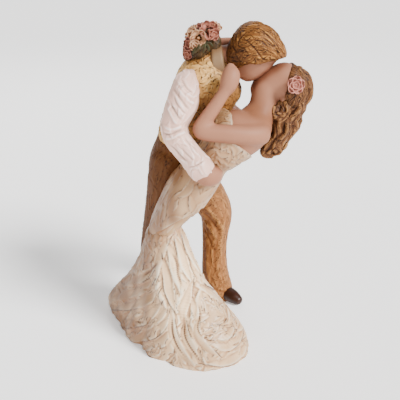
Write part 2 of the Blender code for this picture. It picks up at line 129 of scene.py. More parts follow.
def wave_noise(points: Array, size: float, seed: int) -> Array:
    """Smooth noise from -1 to 1: the mean of nine sine waves in seeded directions.

    Args:
        points: places in clay millimetres.
        size: millimetres from one swell to the next.
        seed: which noise.

    Returns:
        One value for each point.
    """
    rng = np.random.default_rng(seed)
    ways = unit(rng.normal(size=(9, 3))) * (2 * math.pi / size) * rng.uniform(0.6, 1.5, (9, 1))
    return np.sin(points @ ways.T + rng.uniform(0, 6.28, 9)).mean(axis=-1) * 2.0


@dataclass(frozen=True)
class Elevation:
    """The front elevation: a drawing 400 wide and 400 high, seen from the camera's place.

    Places on it are (right, down); folds, strands and outlines are set out on it and then
    carried onto the clay.
    """

    distance: float = 500.0
    rise: float = 25.0
    aim: float = 135.0
    focal: float = 588.0
    middle: float = 200.0

    def eye(self) -> Array:
        """Where the drawing is seen from, in clay millimetres."""
        turn = math.radians(self.rise)
        return np.array([0.0, -math.cos(turn) * self.distance, self.aim + math.sin(turn) * self.distance])

    def sights(self, places: Array) -> Array:
        """The directions from the eye through drawn places.

        Args:
            places: rows that start with (right, down).

        Returns:
            A direction of length one for each.
        """
        turn = math.radians(self.rise)
        right = (places[:, :1] - self.middle) / self.focal * np.array([1.0, 0.0, 0.0])
        up = (self.middle - places[:, 1:2]) / self.focal * np.array([0.0, math.sin(turn), math.cos(turn)])
        return unit(np.array([0.0, math.cos(turn), -math.sin(turn)]) + right + up)

    def solid(self, rows: Rows) -> Array:
        """Carries drawn places to their depth.

        Args:
            rows: rows of right, down, Y and whatever follows.

        Returns:
            Rows of X, Y, Z in clay millimetres and the same that follows.
        """
        rows = np.asarray(rows, float)
        eye, ways = self.eye(), self.sights(rows)
        places = eye + ways * ((rows[:, 2] - eye[1]) / ways[:, 1])[:, None]
        return np.hstack([places, rows[:, 3:]])

    def draw(self, tree: BVHTree, path: Rows, steps: int = 8) -> Array:
        """Carries a drawn path onto the clay behind it.

        Args:
            tree: the clay's surface.
            path: drawn places.
            steps: points for each span.

        Returns:
            The places on the clay, without those that miss it.
        """
        eye, ways = self.eye(), self.sights(smooth_rows(path, steps))
        hits = (tree.ray_cast(Vector(eye), Vector(way))[0] for way in ways)
        return np.array([tuple(hit) for hit in hits if hit is not None]).reshape(-1, 3)


FRONT = Elevation()


# Shapes


@dataclass
class Shell:
    """A closed surface: points in clay millimetres, and faces of three or four corners."""

    points: Array
    faces: list[tuple[int, ...]]


def ring_shell(rings: Array, start: Array, end: Array) -> Shell:
    """Joins rings of points into a tube and shuts it with a fan at each end.

    Args:
        rings: array of rings by sides by three.
        start: the point that shuts the first ring.
        end: the point that shuts the last ring.

    Returns:
        The closed shell.
    """
    count, sides = rings.shape[:2]
    points = np.vstack([rings.reshape(-1, 3), start, end])
    i, j = np.meshgrid(np.arange(count - 1), np.arange(sides), indexing="ij")
    k = (j + 1) % sides
    quads = np.stack([i * sides + j, i * sides + k, (i + 1) * sides + k, (i + 1) * sides + j], axis=-1)
    j, k = np.arange(sides), (np.arange(sides) + 1) % sides
    first = np.stack([k, j, np.full(sides, count * sides)], axis=-1)
    top = (count - 1) * sides
    last = np.stack([top + j, top + k, np.full(sides, count * sides + 1)], axis=-1)
    faces = [tuple(f) for f in quads.reshape(-1, 4).tolist()]
    return Shell(points, faces + [tuple(f) for f in np.vstack([first, last]).tolist()])


@dataclass
class Loft:
    """A body whose oval section changes along a curve.

    Each station is its centre and its left, front, right and back radii. left is the
    figure's left at the first and last station.
    """

    stations: Rows
    left: tuple[Sequence[float], Sequence[float]]
    sides: int = 64
    steps: int = 10
    dome: tuple[float, float] = (0.7, 0.7)
    power: float = 2.0
    relief: Relief | None = None

    def rows(self) -> Array:
        """The stations' curve, with radii kept above 0.3."""
        rows = smooth_rows(self.stations, self.steps)
        rows[:, 3:7] = np.maximum(rows[:, 3:7], 0.3)
        return rows

    def axis(self) -> Array:
        """The curve's centres."""
        return self.rows()[:, :3]

    def shell(self) -> Shell:
        """The section |c|^p, |s|^p with its four radii, set square to the curve.

        Returns:
            The closed shell, with an elliptic dome over each end.
        """
        rows = self.rows()
        centres, radii = rows[:, :3], rows[:, 3:7]
        along = unit(np.gradient(centres, axis=0))
        share = np.linspace(0, 1, len(rows))[:, None]
        across = (1 - share) * np.array(self.left[0]) + share * np.array(self.left[1])
        front = unit(np.cross(across, along))
        across = unit(np.cross(along, front))
        angle = np.linspace(0, 2 * math.pi, self.sides, endpoint=False)
        c, s = np.cos(angle), np.sin(angle)
        wide = np.where(c > 0, radii[:, :1], radii[:, 2:3]) * np.sign(c) * np.abs(c) ** (2 / self.power)
        deep = np.where(s > 0, radii[:, 1:2], radii[:, 3:4]) * np.sign(s) * np.abs(s) ** (2 / self.power)
        if self.relief is not None:
            grow = 1 + self.relief(angle[None], share) / np.maximum(np.hypot(wide, deep), 1.0)
            wide, deep = wide * grow, deep * grow
        rings = centres[:, None] + across[:, None] * wide[..., None] + front[:, None] * deep[..., None]
        turns = np.radians([18, 36, 54, 72])
        cosines, sines = np.cos(turns)[:, None, None], np.sin(turns)[:, None, None]
        caps, tips = [], []
        for which, way in ((0, -1.0), (-1, 1.0)):
            size = radii[which].mean() * self.dome[which]
            spread = rings[which] - centres[which]
            rise = way * along[which] * size
            caps.append(centres[which] + spread[None] * cosines + rise * sines)
            tips.append((centres[which] + rise)[None])
        return ring_shell(np.concatenate([caps[0][::-1], rings, caps[1]]), tips[0], tips[1])


@dataclass
class Limb:
    """A round body along a curve: each station is its centre and its radius."""

    stations: Rows
    sides: int = 40
    steps: int = 10
    dome: tuple[float, float] = (0.8, 0.8)
    flat: float = 1.0
    left: Sequence[float] = (0.0, 1.0, 0.0)
    relief: Relief | None = None

    def loft(self) -> Loft:
        """The same body with four radii, flat times as deep as it is wide."""
        rows = [(x, y, z, r, r * self.flat, r, r * self.flat) for x, y, z, r in self.stations]
        return Loft(rows, (self.left, self.left), self.sides, self.steps, self.dome, 2.0, self.relief)

    def shell(self) -> Shell:
        """The closed shell."""
        return self.loft().shell()

    def axis(self) -> Array:
        """The curve's centres."""
        return self.loft().axis()


def egg(centre: Sequence[float], radii: Sequence[float], up: Sequence[float], left: Sequence[float]) -> Shell:
    """An ellipsoid.

    Args:
        centre: its middle.
        radii: half sizes along its left, its front and its up.
        up: its axis.
        left: its left.

    Returns:
        The closed shell.
    """
    middle, axis = np.array(centre, float), unit(np.array(up, float))
    turns = np.radians((-72, -50, -25, 0, 25, 50, 72))
    rows = [
        (*(middle + axis * radii[2] * math.sin(a)), *([radii[0] * math.cos(a), radii[1] * math.cos(a)] * 2))
        for a in turns
    ]
    return Loft(rows, (left, left), 28, 4, (0.25, 0.25)).shell()


@dataclass
class Skin:
    """A carved surface: points in clay millimetres, four-cornered faces, and its paint masks."""

    points: Array
    quads: Index
    wash: Array = field(default_factory=lambda: np.zeros(0))
    tint: Array = field(default_factory=lambda: np.zeros(0))
    crest: Array = field(default_factory=lambda: np.zeros(0))

    def crosses(self) -> Array:
        """Each face's cross product of its diagonals, twice its area long."""
        p = self.points[self.quads]
        return np.cross(p[:, 2] - p[:, 0], p[:, 3] - p[:, 1])

    def areas(self) -> Array:
        """Each face's area, half the length of its cross product."""
        return 0.5 * np.linalg.norm(self.crosses(), axis=1)

    def normals(self) -> Array:
        """At each point, the mean of its faces' normals."""
        return unit(self.gather(np.repeat(self.crosses()[:, None], 4, axis=1)))

    def gather(self, corners: Array) -> Array:
        """Adds up, at each point, what the faces' corners there hold.

        Args:
            corners: a value, or a row of them, for each face and corner.

        Returns:
            The sums, one row for each point.
        """
        where, size = self.quads.reshape(-1), len(self.points)
        flat = corners.reshape(len(where), -1)
        return np.stack([np.bincount(where, flat[:, k], size) for k in range(flat.shape[1])], axis=1)

    def relax(self, values: Array, rounds: int, pull: float = 0.5) -> Array:
        """Draws values at the points towards the mean of their neighbours'.

        Args:
            values: a value, or a row of them, for each point.
            rounds: how often.
            pull: how far towards the mean each time, 0 to 1.

        Returns:
            The smoothed values, one row for each point.
        """
        values = values.reshape(len(self.points), -1)
        count = self.gather(np.ones((len(self.quads), 4, 1)))
        for _ in range(rounds):
            v = values[self.quads]
            near = 0.5 * (np.roll(v, 1, axis=1) + np.roll(v, -1, axis=1))
            values = values + pull * (self.gather(near) / np.maximum(count, 1) - values)
        return values


def fuse(shells: Iterable[Shell], cell: float, rounds: int = 4) -> Skin:
    """Fuses shells into one even skin, as wet clay is.

    Args:
        shells: the closed shells, which may run through each other.
        cell: the edge of the skin's faces, in millimetres.
        rounds: how often it is smoothed.

    Returns:
        The skin, in clay millimetres.
    """
    points, faces, base = [], [], 0
    for shell in shells:
        points.append(shell.points)
        faces += [tuple(base + i for i in face) for face in shell.faces]
        base += len(shell.points)
    mesh = bpy.data.meshes.new("clay")
    mesh.from_pydata(np.vstack(points).tolist(), [], faces)
    lump = bpy.data.objects.new("clay", mesh)
    bpy.context.scene.collection.objects.link(lump)
    remesh = lump.modifiers.new("fuse", "REMESH")
    remesh.mode = "VOXEL"
    remesh.voxel_size = cell
    found = lump.evaluated_get(bpy.context.evaluated_depsgraph_get()).to_mesh()
    place = np.zeros(len(found.vertices) * 3)
    found.vertices.foreach_get("co", place)
    corner = np.zeros(len(found.loops), np.int32)
    found.loops.foreach_get("vertex_index", corner)
    skin = Skin(place.reshape(-1, 3), corner.reshape(-1, 4).astype(np.int64))
    bpy.data.objects.remove(lump)
    bpy.data.meshes.remove(mesh)
    skin.points = skin.relax(skin.points, rounds)
    skin.wash = np.zeros(len(skin.points))
    skin.tint = np.zeros(len(skin.points))
    skin.crest = np.zeros(len(skin.points))
    return skin


# Carving


@dataclass(frozen=True)
class Brush:
    """One kind of stroke that is laid over a surface, each over the last."""

    length: float  # half length, mm
    width: float  # half width, mm
    lift: float  # height, mm
    cover: float  # strokes' area over the surface's
    scatter: float = 0.3  # turn off the flow, radians
    point: float = 0.4  # 0 square ends, 1 drawn out to a point
    tilt: float = 0.9  # how much higher one long side lies than the other
    crown: float = 0.0  # how round the stroke is across
    edge: float = 0.5  # mm over which a stroke's side falls
    line: float = 0.36  # half width of the wash along a stroke's side, mm
    wash: float = 1.0  # how dark that wash is
    broken: float = 0.5  # share of the side that the wash has left bare
    bend: float = 0.4  # how much strokes curve
    vary: float = 0.35  # how much sizes differ


class Buckets:
    """Points sorted into cubes, so that those near a place are found at once."""

    def __init__(self, points: Array, cell: float) -> None:
        """Sorts the points.

        Args:
            points: places in clay millimetres.
            cell: the cubes' edge, mm.
        """
        self.cell = cell
        self.low = points.min(axis=0) - cell
        self.shape = ((points.max(axis=0) + cell - self.low) / cell).astype(int) + 2
        keys = self._keys(((points - self.low) / cell).astype(int))
        self.order = np.argsort(keys, kind="stable")
        self.keys = keys[self.order]

    def _keys(self, cubes: Index) -> Index:
        """The number of each cube."""
        return (cubes[..., 0] * self.shape[1] + cubes[..., 1]) * self.shape[2] + cubes[..., 2]

    def near(self, place: Array) -> Index:
        """Finds the points in a place's cube and in the 26 round it.

        Args:
            place: in clay millimetres.

        Returns:
            The points' numbers.
        """
        cube = ((place - self.low) / self.cell).astype(int)
        steps = np.array([(i, j, 0) for i in (-1, 0, 1) for j in (-1, 0, 1)])
        middle = self._keys(cube + steps)
        first = np.searchsorted(self.keys, middle - 1, "left")
        last = np.searchsorted(self.keys, middle + 1, "right")
        return np.concatenate([self.order[a:b] for a, b in zip(first, last)])


class Carving:
    """Works relief into a skin, and keeps where the antiquing wash gathers."""

    def __init__(self, skin: Skin, seed: int) -> None:
        """Starts on a smooth skin.

        Args:
            skin: the surface to carve.
            seed: which random strokes.
        """
        self.skin = skin
        self.normals = unit(skin.relax(skin.normals(), 4))
        self.rng = np.random.default_rng(seed)
        self.height = np.zeros(len(skin.points))
        self.wash = np.zeros(len(skin.points))
        self.tree = BVHTree.FromPolygons(skin.points.tolist(), skin.quads.tolist())

    def draw(self, paths: Iterable[Rows]) -> list[Array]:
        """Drawn paths carried onto this surface, those that miss it left out."""
        curves = [FRONT.draw(self.tree, path) for path in paths]
        return [curve for curve in curves if len(curve) > 3]

    def press(self, near: Index, s: Array, t: Array, width: float, brush: Brush, tilt: float) -> None:
        """Lays clay over what is there: a leaf |s|^2.6 + |t|^2.6 < 1, higher along one side.

        Args:
            near: the points it may reach.
            s: where they lie along it, -1 to 1.
            t: where they lie across it, -1 to 1.
            width: its half width, mm.
            brush: what kind it is.
            tilt: -1 to 1, the higher side.
        """
        high, lean = math.copysign(1.0, tilt), self.rng.uniform(-3, 3)
        reach = (np.abs(s) ** 2.6 + np.abs(t) ** 2.6) ** (1 / 2.6)
        inside = smooth_step((1 - reach) * width / brush.edge + 0.5)
        shape = 0.45 + 0.5 * brush.tilt * high * t + 0.12 * s + brush.crown * (1 - t**2) * 0.5
        self.height[near] += inside * (brush.lift * shape - self.height[near])
        line = np.exp(-(((reach - 1.02) * width / brush.line) ** 2))
        bare = np.sin(2.6 * s + lean + 2.1 * t * high) + 0.5 * np.sin(7.3 * s - 2 * lean)
        strength = brush.wash * smooth_step((bare + 1 - 2 * brush.broken) * 1.3)
        strength = strength * (0.25 + 0.75 * smooth_step(2 * t * high + 0.5))
        self.wash[near] = np.maximum(self.wash[near] * (1 - inside), line * strength)

    def stroke(self, near: Index, place: Array, way: Array, normal: Array, brush: Brush) -> None:
        """Lays one short stroke.

        Args:
            near: points that it may reach.
            place: its middle.
            way: its direction along the surface.
            normal: the surface's normal there.
            brush: what kind it is.
        """
        grow, slim, bend, tilt = self.rng.uniform(-1, 1, 4)
        half, thin = brush.length * (1 + brush.vary * grow), brush.width * (1 + brush.vary * slim)
        way = unit(way - normal * (way @ normal))
        side = np.cross(normal, way)
        offset = self.skin.points[near] - place
        keep = (np.abs(offset @ normal) < 0.8 * half) & (self.normals[near] @ normal > 0.15)
        near, offset = near[keep], offset[keep]
        s = offset @ way / half
        room = np.maximum(1 - brush.point * s**2, 0.15)
        t = (offset @ side / thin + brush.bend * bend * (s**2 - 0.3) * half / thin * 0.5) / room
        self.press(near, s, t, thin, brush, tilt)

    def sweep(self, curve: Array, width: float, brush: Brush, high: float = 1.0) -> None:
        """Lays one long stroke along a curve on the surface.

        Args:
            curve: places on the surface.
            width: half its width, mm.
            brush: what kind it is.
            high: which side of it is the higher, 1 to the left as it runs and -1 to the right.
        """
        points = self.skin.points
        low, top = curve.min(axis=0) - 1.5 * width, curve.max(axis=0) + 1.5 * width
        near = np.flatnonzero(((points > low) & (points < top)).all(axis=1))
        apart = np.linalg.norm(points[near, None] - curve[None], axis=2)
        which = apart.argmin(axis=1)
        keep = apart.min(axis=1) < 1.4 * width
        near, which = near[keep], which[keep]
        way = unit(np.gradient(curve, axis=0))[which]
        side = unit(np.cross(self.normals[near], way))
        offset = points[near] - curve[which]
        s = 2 * which / (len(curve) - 1) - 1 + (offset * way).sum(axis=1) * 2 / (width * len(curve))
        room = np.maximum(1 - brush.point * s**2, 0.15)
        self.press(near, s, (offset * side).sum(axis=1) / width / room, width, brush, high)

    def lay(self, brush: Brush, flow: Flow, weight: Array | None = None) -> None:
        """Covers the surface with a brush's strokes, along a flow.

        Args:
            brush: the kind of stroke.
            flow: the direction of strokes at given places.
            weight: how likely a stroke is at each point; even if left out.
        """
        points = self.skin.points
        chance = np.ones(len(points)) if weight is None else np.maximum(weight, 0)
        share = self.skin.areas() * chance[self.skin.quads].mean(axis=1)
        count = int(brush.cover * share.sum() / (3.2 * brush.length * brush.width))
        picks = self.skin.quads[self.rng.choice(len(share), max(count, 1), p=share / share.sum()), 0]
        ways = unit(flow(points[picks]))
        turn = self.rng.normal(0, brush.scatter, len(picks))[:, None]
        normals = self.normals[picks]
        ways = ways * np.cos(turn) + np.cross(normals, ways) * np.sin(turn)
        buckets = Buckets(points, 1.4 * brush.length)
        for pick, way, normal in zip(picks, ways, normals):
            self.stroke(buckets.near(points[pick]), points[pick], way, normal, brush)

    def ridge(self, curve: Array, width: float, height: float, wash: float = 0.0) -> None:
        """A ridge, or with a negative height a groove, along a curve on the surface.

        Args:
            curve: places in clay millimetres.
            width: its half width, mm.
            height: height * exp(-(distance / width)^2) is added, faded at the curve's ends.
            wash: how dark the wash along its middle is.
        """
        low, high = curve.min(axis=0) - 3 * width, curve.max(axis=0) + 3 * width
        near = np.flatnonzero(((self.skin.points > low) & (self.skin.points < high)).all(axis=1))
        apart = np.linalg.norm(self.skin.points[near, None] - curve[None], axis=2)
        which = apart.argmin(axis=1)
        fade = smooth_step(4 * np.minimum(which, len(curve) - 1 - which) / len(curve))
        form = np.exp(-((apart.min(axis=1) / width) ** 2)) * fade
        self.height[near] += height * form
        self.wash[near] = np.maximum(self.wash[near], wash * form**3)

    def tuck(self, beyond: Array, depth: float, over: float = 1.2) -> None:
        """Presses in what lies beyond a seam, so that it ends under the next surface.

        Args:
            beyond: millimetres that each point lies past the seam.
            depth: how far it is pressed in.
            over: millimetres over which it goes in.
        """
        inside = smooth_step(beyond / over)
        self.height -= depth * inside
        self.wash = self.wash * (1 - inside)

    def finish(self, soften: int = 0, span: float = 0.35, valley: float = 0.0) -> Skin:
        """Moves every point out by its height, and keeps the wash and the crests.

        Args:
            soften: how often the relief is smoothed first.
            span: how far above its surroundings a crest stands, mm.
            valley: how much of the form's own ridges and valleys counts as crest too, which paints highlight
                on the ridges and shade in the valleys.

        Returns:
            The carved skin, with nothing below the floor.
        """
        near_by, far_off = 14, 30  # rounds of smoothing that give the surroundings
        height = self.skin.relax(self.height, soften)[:, 0] if soften else self.height
        round_about = self.skin.relax(self.height, near_by)[:, 0]
        form = self.skin.relax(self.skin.points, far_off)
        bulge = ((self.skin.points - form) * self.normals).sum(axis=1)
        # Crests above 0 take the light colour and those below 0 painted shade; valley adds the form's ridges
        # and valleys
        rise = (height - round_about) / span + valley * (bulge - bulge.mean()) / span
        self.skin.crest = np.clip(rise, -1, 1)
        self.skin.points = self.skin.points + self.normals * height[:, None]
        self.skin.points[:, 2] = np.maximum(self.skin.points[:, 2], 0.0)
        self.skin.wash = np.clip(self.wash, 0, 1)
        return self.skin


def past(points: Array, first: Sequence[float], second: Sequence[float]) -> Array:
    """Millimetres that points lie past a plane seen edge-on on the front elevation.

    Args:
        points: places in clay millimetres.
        first: one drawn place on the plane, with its depth Y.
        second: another; past is to the left of the way from the first to it.

    Returns:
        The distance from the plane, more than 0 past it.
    """
    a, b = FRONT.solid([first, second])
    normal = unit(np.cross(b - a, FRONT.eye() - a))
    return -(points - a) @ normal


def spots(points: Array, places: Array, reach: float) -> Array:
    """Soft round spots: the sum, over the places, of exp(-(distance / reach)^2).

    Args:
        points: where it is wanted, in clay millimetres.
        places: the spots' middles.
        reach: the distance at which a spot has fallen to 0.37, mm.

    Returns:
        One value for each point.
    """
    return sum(np.exp(-((np.linalg.norm(points - place, axis=1) / reach) ** 2)) for place in places)


def headings(paths: Sequence[Array]) -> tuple[Array, Array]:
    """The places along some paths, and the direction that each path runs in there."""
    return np.vstack(paths), np.vstack([unit(np.gradient(path, axis=0)) for path in paths])


def along(paths: Sequence[Array]) -> Flow:
    """A flow that runs along the nearest of some paths.

    Args:
        paths: places along each path.

    Returns:
        The flow.
    """
    places, ways = headings(paths)

    def flow(points: Array) -> Array:
        """The path's direction nearest to each point."""
        apart = np.linalg.norm(points[:, None] - places[None], axis=2)
        return ways[apart.argmin(axis=1)]

    return flow


def drawn(paths: Sequence[Array], reach: float, other: Flow) -> Flow:
    """A flow along drawn paths, and beyond their reach another one.

    Args:
        paths: places along each path.
        reach: millimetres from a path at which the other flow has half the say.
        other: the flow elsewhere.

    Returns:
        The flow.
    """
    places, ways = headings(paths)

    def flow(points: Array) -> Array:
        """The mean of the near paths' directions, mixed with the other flow's."""
        apart = np.linalg.norm(points[:, None] - places[None], axis=2)
        near = np.exp(-((apart / (0.5 * reach)) ** 2)) + 1e-12
        say = smooth_step(1.5 - apart.min(axis=1) / reach)[:, None]
        return unit(say * unit(near @ ways) + (1 - say) * other(points))

    return flow


def any_way(seed: int) -> Flow:
    """A flow with no direction, for crackled paint.

    Args:
        seed: which directions.

    Returns:
        The flow.
    """

    def flow(points: Array) -> Array:
        """A seeded direction for each point."""
        return unit(np.random.default_rng(seed).normal(size=points.shape))

    return flow


# Paint


def linear(code: str) -> tuple[float, float, float, float]:
    """An sRGB hex colour made linear.

    Args:
        code: the colour as #rrggbb.

    Returns:
        Linear red, green, blue and alpha.
    """
    parts = np.array([int(code[i : i + 2], 16) for i in (1, 3, 5)]) / 255
    flat = np.where(parts <= 0.04045, parts / 12.92, ((parts + 0.055) / 1.055) ** 2.4)
    return (float(flat[0]), float(flat[1]), float(flat[2]), 1.0)


def add_node(
    tree: bpy.types.NodeTree, kind: str, links: dict[Any, Any] | None = None, **settings: Any
) -> Any:
    """Adds a node.

    Args:
        tree: the tree that it goes in.
        kind: its Blender type.
        links: input name or number to the socket or value that feeds it.
        settings: its properties.

    Returns:
        The node.
    """
    node = tree.nodes.new(kind)
    for name, value in settings.items():
        setattr(node, name, value)
    for name, value in (links or {}).items():
        if isinstance(value, bpy.types.NodeSocket):
            tree.links.new(value, node.inputs[name])
        else:
            node.inputs[name].default_value = value
    return node


@dataclass(frozen=True)
class ResinPaint:
    """Acrylic paint on cold-cast resin, brushed on matte, then rubbed with a brown wash.

    Its layers, from below: body mottled at random with the shade colour; light on the crests
    (attribute crest), which is dry-brushed paint on raised strokes and painted highlight on the
    form's ridges; tint over both (attribute tint), which on most pieces is painted shade on the
    side away from the light and in spots, and on the blossoms their hearts' colour; painted shade
    in the hollows, in the troughs below the crests and between parts, where brown wash also
    gathers; and wash along the strokes' edges (attribute wash).
    """

    name: str
    body: str
    shade: str
    wash: str
    light: str = "#ffffff"
    tint: str = "#ffffff"
    # How strongly crests take the light colour and troughs painted shade
    crest_gain: float = 0.0
    mottle_mm: float = 14.0
    mottle: float = 0.25
    grain_mm: float = 0.9
    grain: float = 0.15
    wash_gain: float = 1.0
    # How strongly painted shade darkens the hollows and the places between parts
    hollow_shade_gain: float = 0.6
    roughness: float = 0.55
    gloss: float = 0.3

    def material(self) -> bpy.types.Material:
        """Builds the paint.

        Returns:
            A material with the paint's layers and a fine brushed grain.
        """
        made = bpy.data.materials.new(self.name)
        made.use_nodes = True
        tree = made.node_tree
        shader = tree.nodes["Principled BSDF"]
        place = add_node(tree, "ShaderNodeTexCoord").outputs["Object"]
        wash, hollow_shade, tint, crest = (
            add_node(tree, "ShaderNodeAttribute", attribute_name=name).outputs["Fac"]
            for name in ("wash", "hollow_shade", "tint", "crest")
        )
        blotch, grain = (
            add_node(tree, "ShaderNodeTexNoise", {"Vector": place, "Scale": 1000 / size, "Detail": detail})
            for size, detail in ((self.mottle_mm, 3.0), (self.grain_mm, 2.0))
        )
        spread = add_node(
            tree,
            "ShaderNodeMapRange",
            {"Value": blotch.outputs["Fac"], "From Min": 0.35, "From Max": 0.65, "To Max": self.mottle},
        )
        # Light on the crests: dry-brushed paint on raised strokes, and painted highlight on the form's ridges
        dry_brush_and_highlight = add_node(
            tree, "ShaderNodeMath", {0: crest, 1: self.crest_gain}, operation="MULTIPLY", use_clamp=True
        )
        # Painted shade: the troughs below the crests, with the hollows and places between parts
        sunk = add_node(tree, "ShaderNodeMath", {0: crest, 1: -0.8 * self.crest_gain}, operation="MULTIPLY")
        low = add_node(tree, "ShaderNodeMath", {0: sunk.outputs[0], 1: 0.0}, operation="MAXIMUM")
        hollow = add_node(
            tree,
            "ShaderNodeMath",
            {0: hollow_shade, 1: self.hollow_shade_gain, 2: low.outputs[0]},
            operation="MULTIPLY_ADD",
            use_clamp=True,
        )
        worn = add_node(
            tree,
            "ShaderNodeMapRange",
            {"Value": grain.outputs["Fac"], "From Min": 0.3, "From Max": 0.7, "To Min": 0.75, "To Max": 1.15},
        )
        edges = add_node(tree, "ShaderNodeMath", {0: wash, 1: self.wash_gain}, operation="MULTIPLY")
        gather = add_node(
            tree,
            "ShaderNodeMath",
            {0: edges.outputs[0], 1: worn.outputs[0]},
            operation="MULTIPLY",
            use_clamp=True,
        )
        colour: Any = linear(self.body)
        for amount, code in (
            (spread.outputs[0], self.shade),
            (dry_brush_and_highlight.outputs[0], self.light),
            (tint, self.tint),
            (hollow.outputs[0], self.shade),
            (gather.outputs[0], self.wash),
        ):
            layer = add_node(tree, "ShaderNodeMix", {0: amount, 6: colour, 7: linear(code)}, data_type="RGBA")
            colour = layer.outputs[2]
        bump = add_node(
            tree,
            "ShaderNodeBump",
            {"Height": grain.outputs["Fac"], "Strength": self.grain, "Distance": 0.0003},
        )
        tree.links.new(colour, shader.inputs["Base Color"])
        tree.links.new(bump.outputs["Normal"], shader.inputs["Normal"])
        shader.inputs["Roughness"].default_value = self.roughness
        shader.inputs["IOR"].default_value = 1.48
        shader.inputs["Specular IOR Level"].default_value = self.gloss
        return made


# Satin acrylic over palette-knife strokes: warm ivory, thin brown lines in the strokes' edges, pale
# dry-brushing and painted highlight on raised strokes, and painted shade as its tint
IVORY = ResinPaint(
    "ivory_acrylic_on_resin", "#f9d2a2", "#94643e", "#4a2a12",
    light="#fff1d4", tint="#80532a", crest_gain=0.9, mottle=0.2, mottle_mm=16, wash_gain=1.4, hollow_shade_gain=0.6,
    roughness=0.38, gloss=0.5,
)
# Smooth flesh acrylic, with warm brown painted shade in the hollows and, by its tint, over her back
FLESH = ResinPaint(
    "flesh_acrylic_on_resin", "#9e6d54", "#683822", "#4c2410",
    tint="#85563c", mottle_mm=26, mottle=0.10, grain=0.03, hollow_shade_gain=0.8, roughness=0.55, gloss=0.2,
)
# Golden-brown acrylic, dry-brushed on the carved strands, with dark wash between them and painted shade
# towards the nape as its tint
STRANDS = ResinPaint(
    "brown_acrylic_on_carved_hair", "#86562a", "#4a260e", "#261004",
    light="#c48c48", tint="#4e2c12", crest_gain=0.9, mottle_mm=11, mottle=0.5, wash_gain=1.5, hollow_shade_gain=0.9,
    roughness=0.5, gloss=0.15,
)
# The bride's hair, a plainer brown
LOCKS = ResinPaint(
    "chestnut_acrylic_on_carved_hair", "#6f472a", "#361b0c", "#241006",
    light="#9e6f40", crest_gain=0.85, mottle_mm=9, mottle=0.4, wash_gain=1.5, hollow_shade_gain=1.0,
    roughness=0.5, gloss=0.15,
)
# Gold-beige acrylic that has crackled, brown in the cracks, with painted shade in spots as its tint
GOLD = ResinPaint(
    "gold_beige_crackled_acrylic", "#e0ae62", "#8f6030", "#38200b",
    light="#f4ce8c", tint="#7c4e26", crest_gain=0.7, mottle_mm=9, mottle=0.35, wash_gain=1.5,
    hollow_shade_gain=0.95, roughness=0.5, gloss=0.2,
)
# White acrylic, faintly warm
WHITE = ResinPaint(
    "white_acrylic_on_resin", "#f0c0ac", "#a08678", "#6e5c50",
    light="#fff0ea", crest_gain=0.7, mottle=0.2, wash_gain=1.1, hollow_shade_gain=0.75, roughness=0.42, gloss=0.4,
)
# The same white, darkened to brown: painted shade, as the collar lies in shade, with some brown wash
LINEN = ResinPaint(
    "shaded_and_washed_white_acrylic", "#897052", "#6c4a2c", "#4c2c16", mottle=0.3, wash_gain=0.9, hollow_shade_gain=0.8,
)
# Tan acrylic on softly creased cloth, rubbed with dark brown, with painted shade on his near leg as its tint
TAN = ResinPaint(
    "tan_acrylic_on_resin", "#946238", "#683c1c", "#2a1406",
    light="#bc8850", tint="#43230f", crest_gain=0.8, mottle_mm=12, mottle=0.3, wash_gain=1.2, hollow_shade_gain=0.9,
    roughness=0.55, gloss=0.12,
)
# Dark brown satin paint
LEATHER = ResinPaint("dark_brown_satin_paint", "#2f170c", "#1c0e09", "#120806", roughness=0.36)
# Dusty pink petals, golden brown at the heart
PETAL = ResinPaint(
    "pink_acrylic_petals", "#ac6a54", "#602c1e", "#40190c",
    light="#d69c8a", tint="#9a5420", crest_gain=0.7, mottle_mm=5, mottle=0.5, grain=0.05, hollow_shade_gain=1.0,
)
# The rose in her hair, a lighter pink
BLUSH = ResinPaint(
    "blush_acrylic_petals", "#c48270", "#6a2e20", "#4c2012",
    light="#d49888", crest_gain=0.25, mottle_mm=5, mottle=0.3, grain=0.05, hollow_shade_gain=1.0,
)
# Cream petals, golden brown at the heart
CREAM = ResinPaint(
    "cream_acrylic_petals", "#cfa27c", "#84502c", "#40190c",
    light="#e4c4a4", tint="#a8641e", crest_gain=0.7, mottle_mm=5, mottle=0.5, grain=0.05, hollow_shade_gain=1.0,
)
# Dark green leaves, browned
LEAF = ResinPaint("green_acrylic_leaves", "#38371f", "#3a260f", "#160e05", mottle_mm=4, mottle=0.7)
# Brown-green stems
STEM = ResinPaint("brown_green_acrylic_stems", "#5e4420", "#332008", "#120904", mottle_mm=4, mottle=0.7)


# Pieces


@dataclass(frozen=True)
class Clay:
    """How a surface is modelled: its faces' edge in mm, how often it is smoothed, its strokes' seed."""

    cell: float
    rounds: int
    seed: int

    def carving(self, shells: Iterable[Shell]) -> Carving:
        """The shells fused into one skin, ready to be carved."""
        return Carving(fuse(shells, self.cell, self.rounds), self.seed)


# Faces as small as each surface's strokes need, and under a million triangles in all
CLAY = {
    "dress_train": Clay(0.8, 6, 11),
    "dress_bodice_and_skirt": Clay(0.66, 4, 12),
    "bride_skin": Clay(1.1, 8, 21),
    "bride_hair_cap": Clay(0.5, 3, 22),
    "bride_curls": Clay(0.5, 3, 23),
    "trousers": Clay(1.0, 6, 31),
    "waistcoat": Clay(0.7, 4, 32),
    "near_sleeve": Clay(0.64, 3, 33),
    "far_sleeve": Clay(0.95, 3, 34),
    "collar": Clay(0.75, 3, 35),
    "groom_face_and_neck": Clay(0.9, 6, 36),
    "groom_hands": Clay(0.8, 5, 37),
    "shoes": Clay(0.85, 4, 38),
    "groom_hair": Clay(0.5, 3, 39),
    "blossoms": Clay(0.36, 1, 41),
    "bouquet_leaves": Clay(0.34, 1, 42),
    "bouquet_stems": Clay(0.6, 2, 43),
}


@dataclass
class Piece:
    """A finished surface, with its name, its paint and its slot."""

    name: str
    skin: Skin
    paint: ResinPaint
    slot: Slot


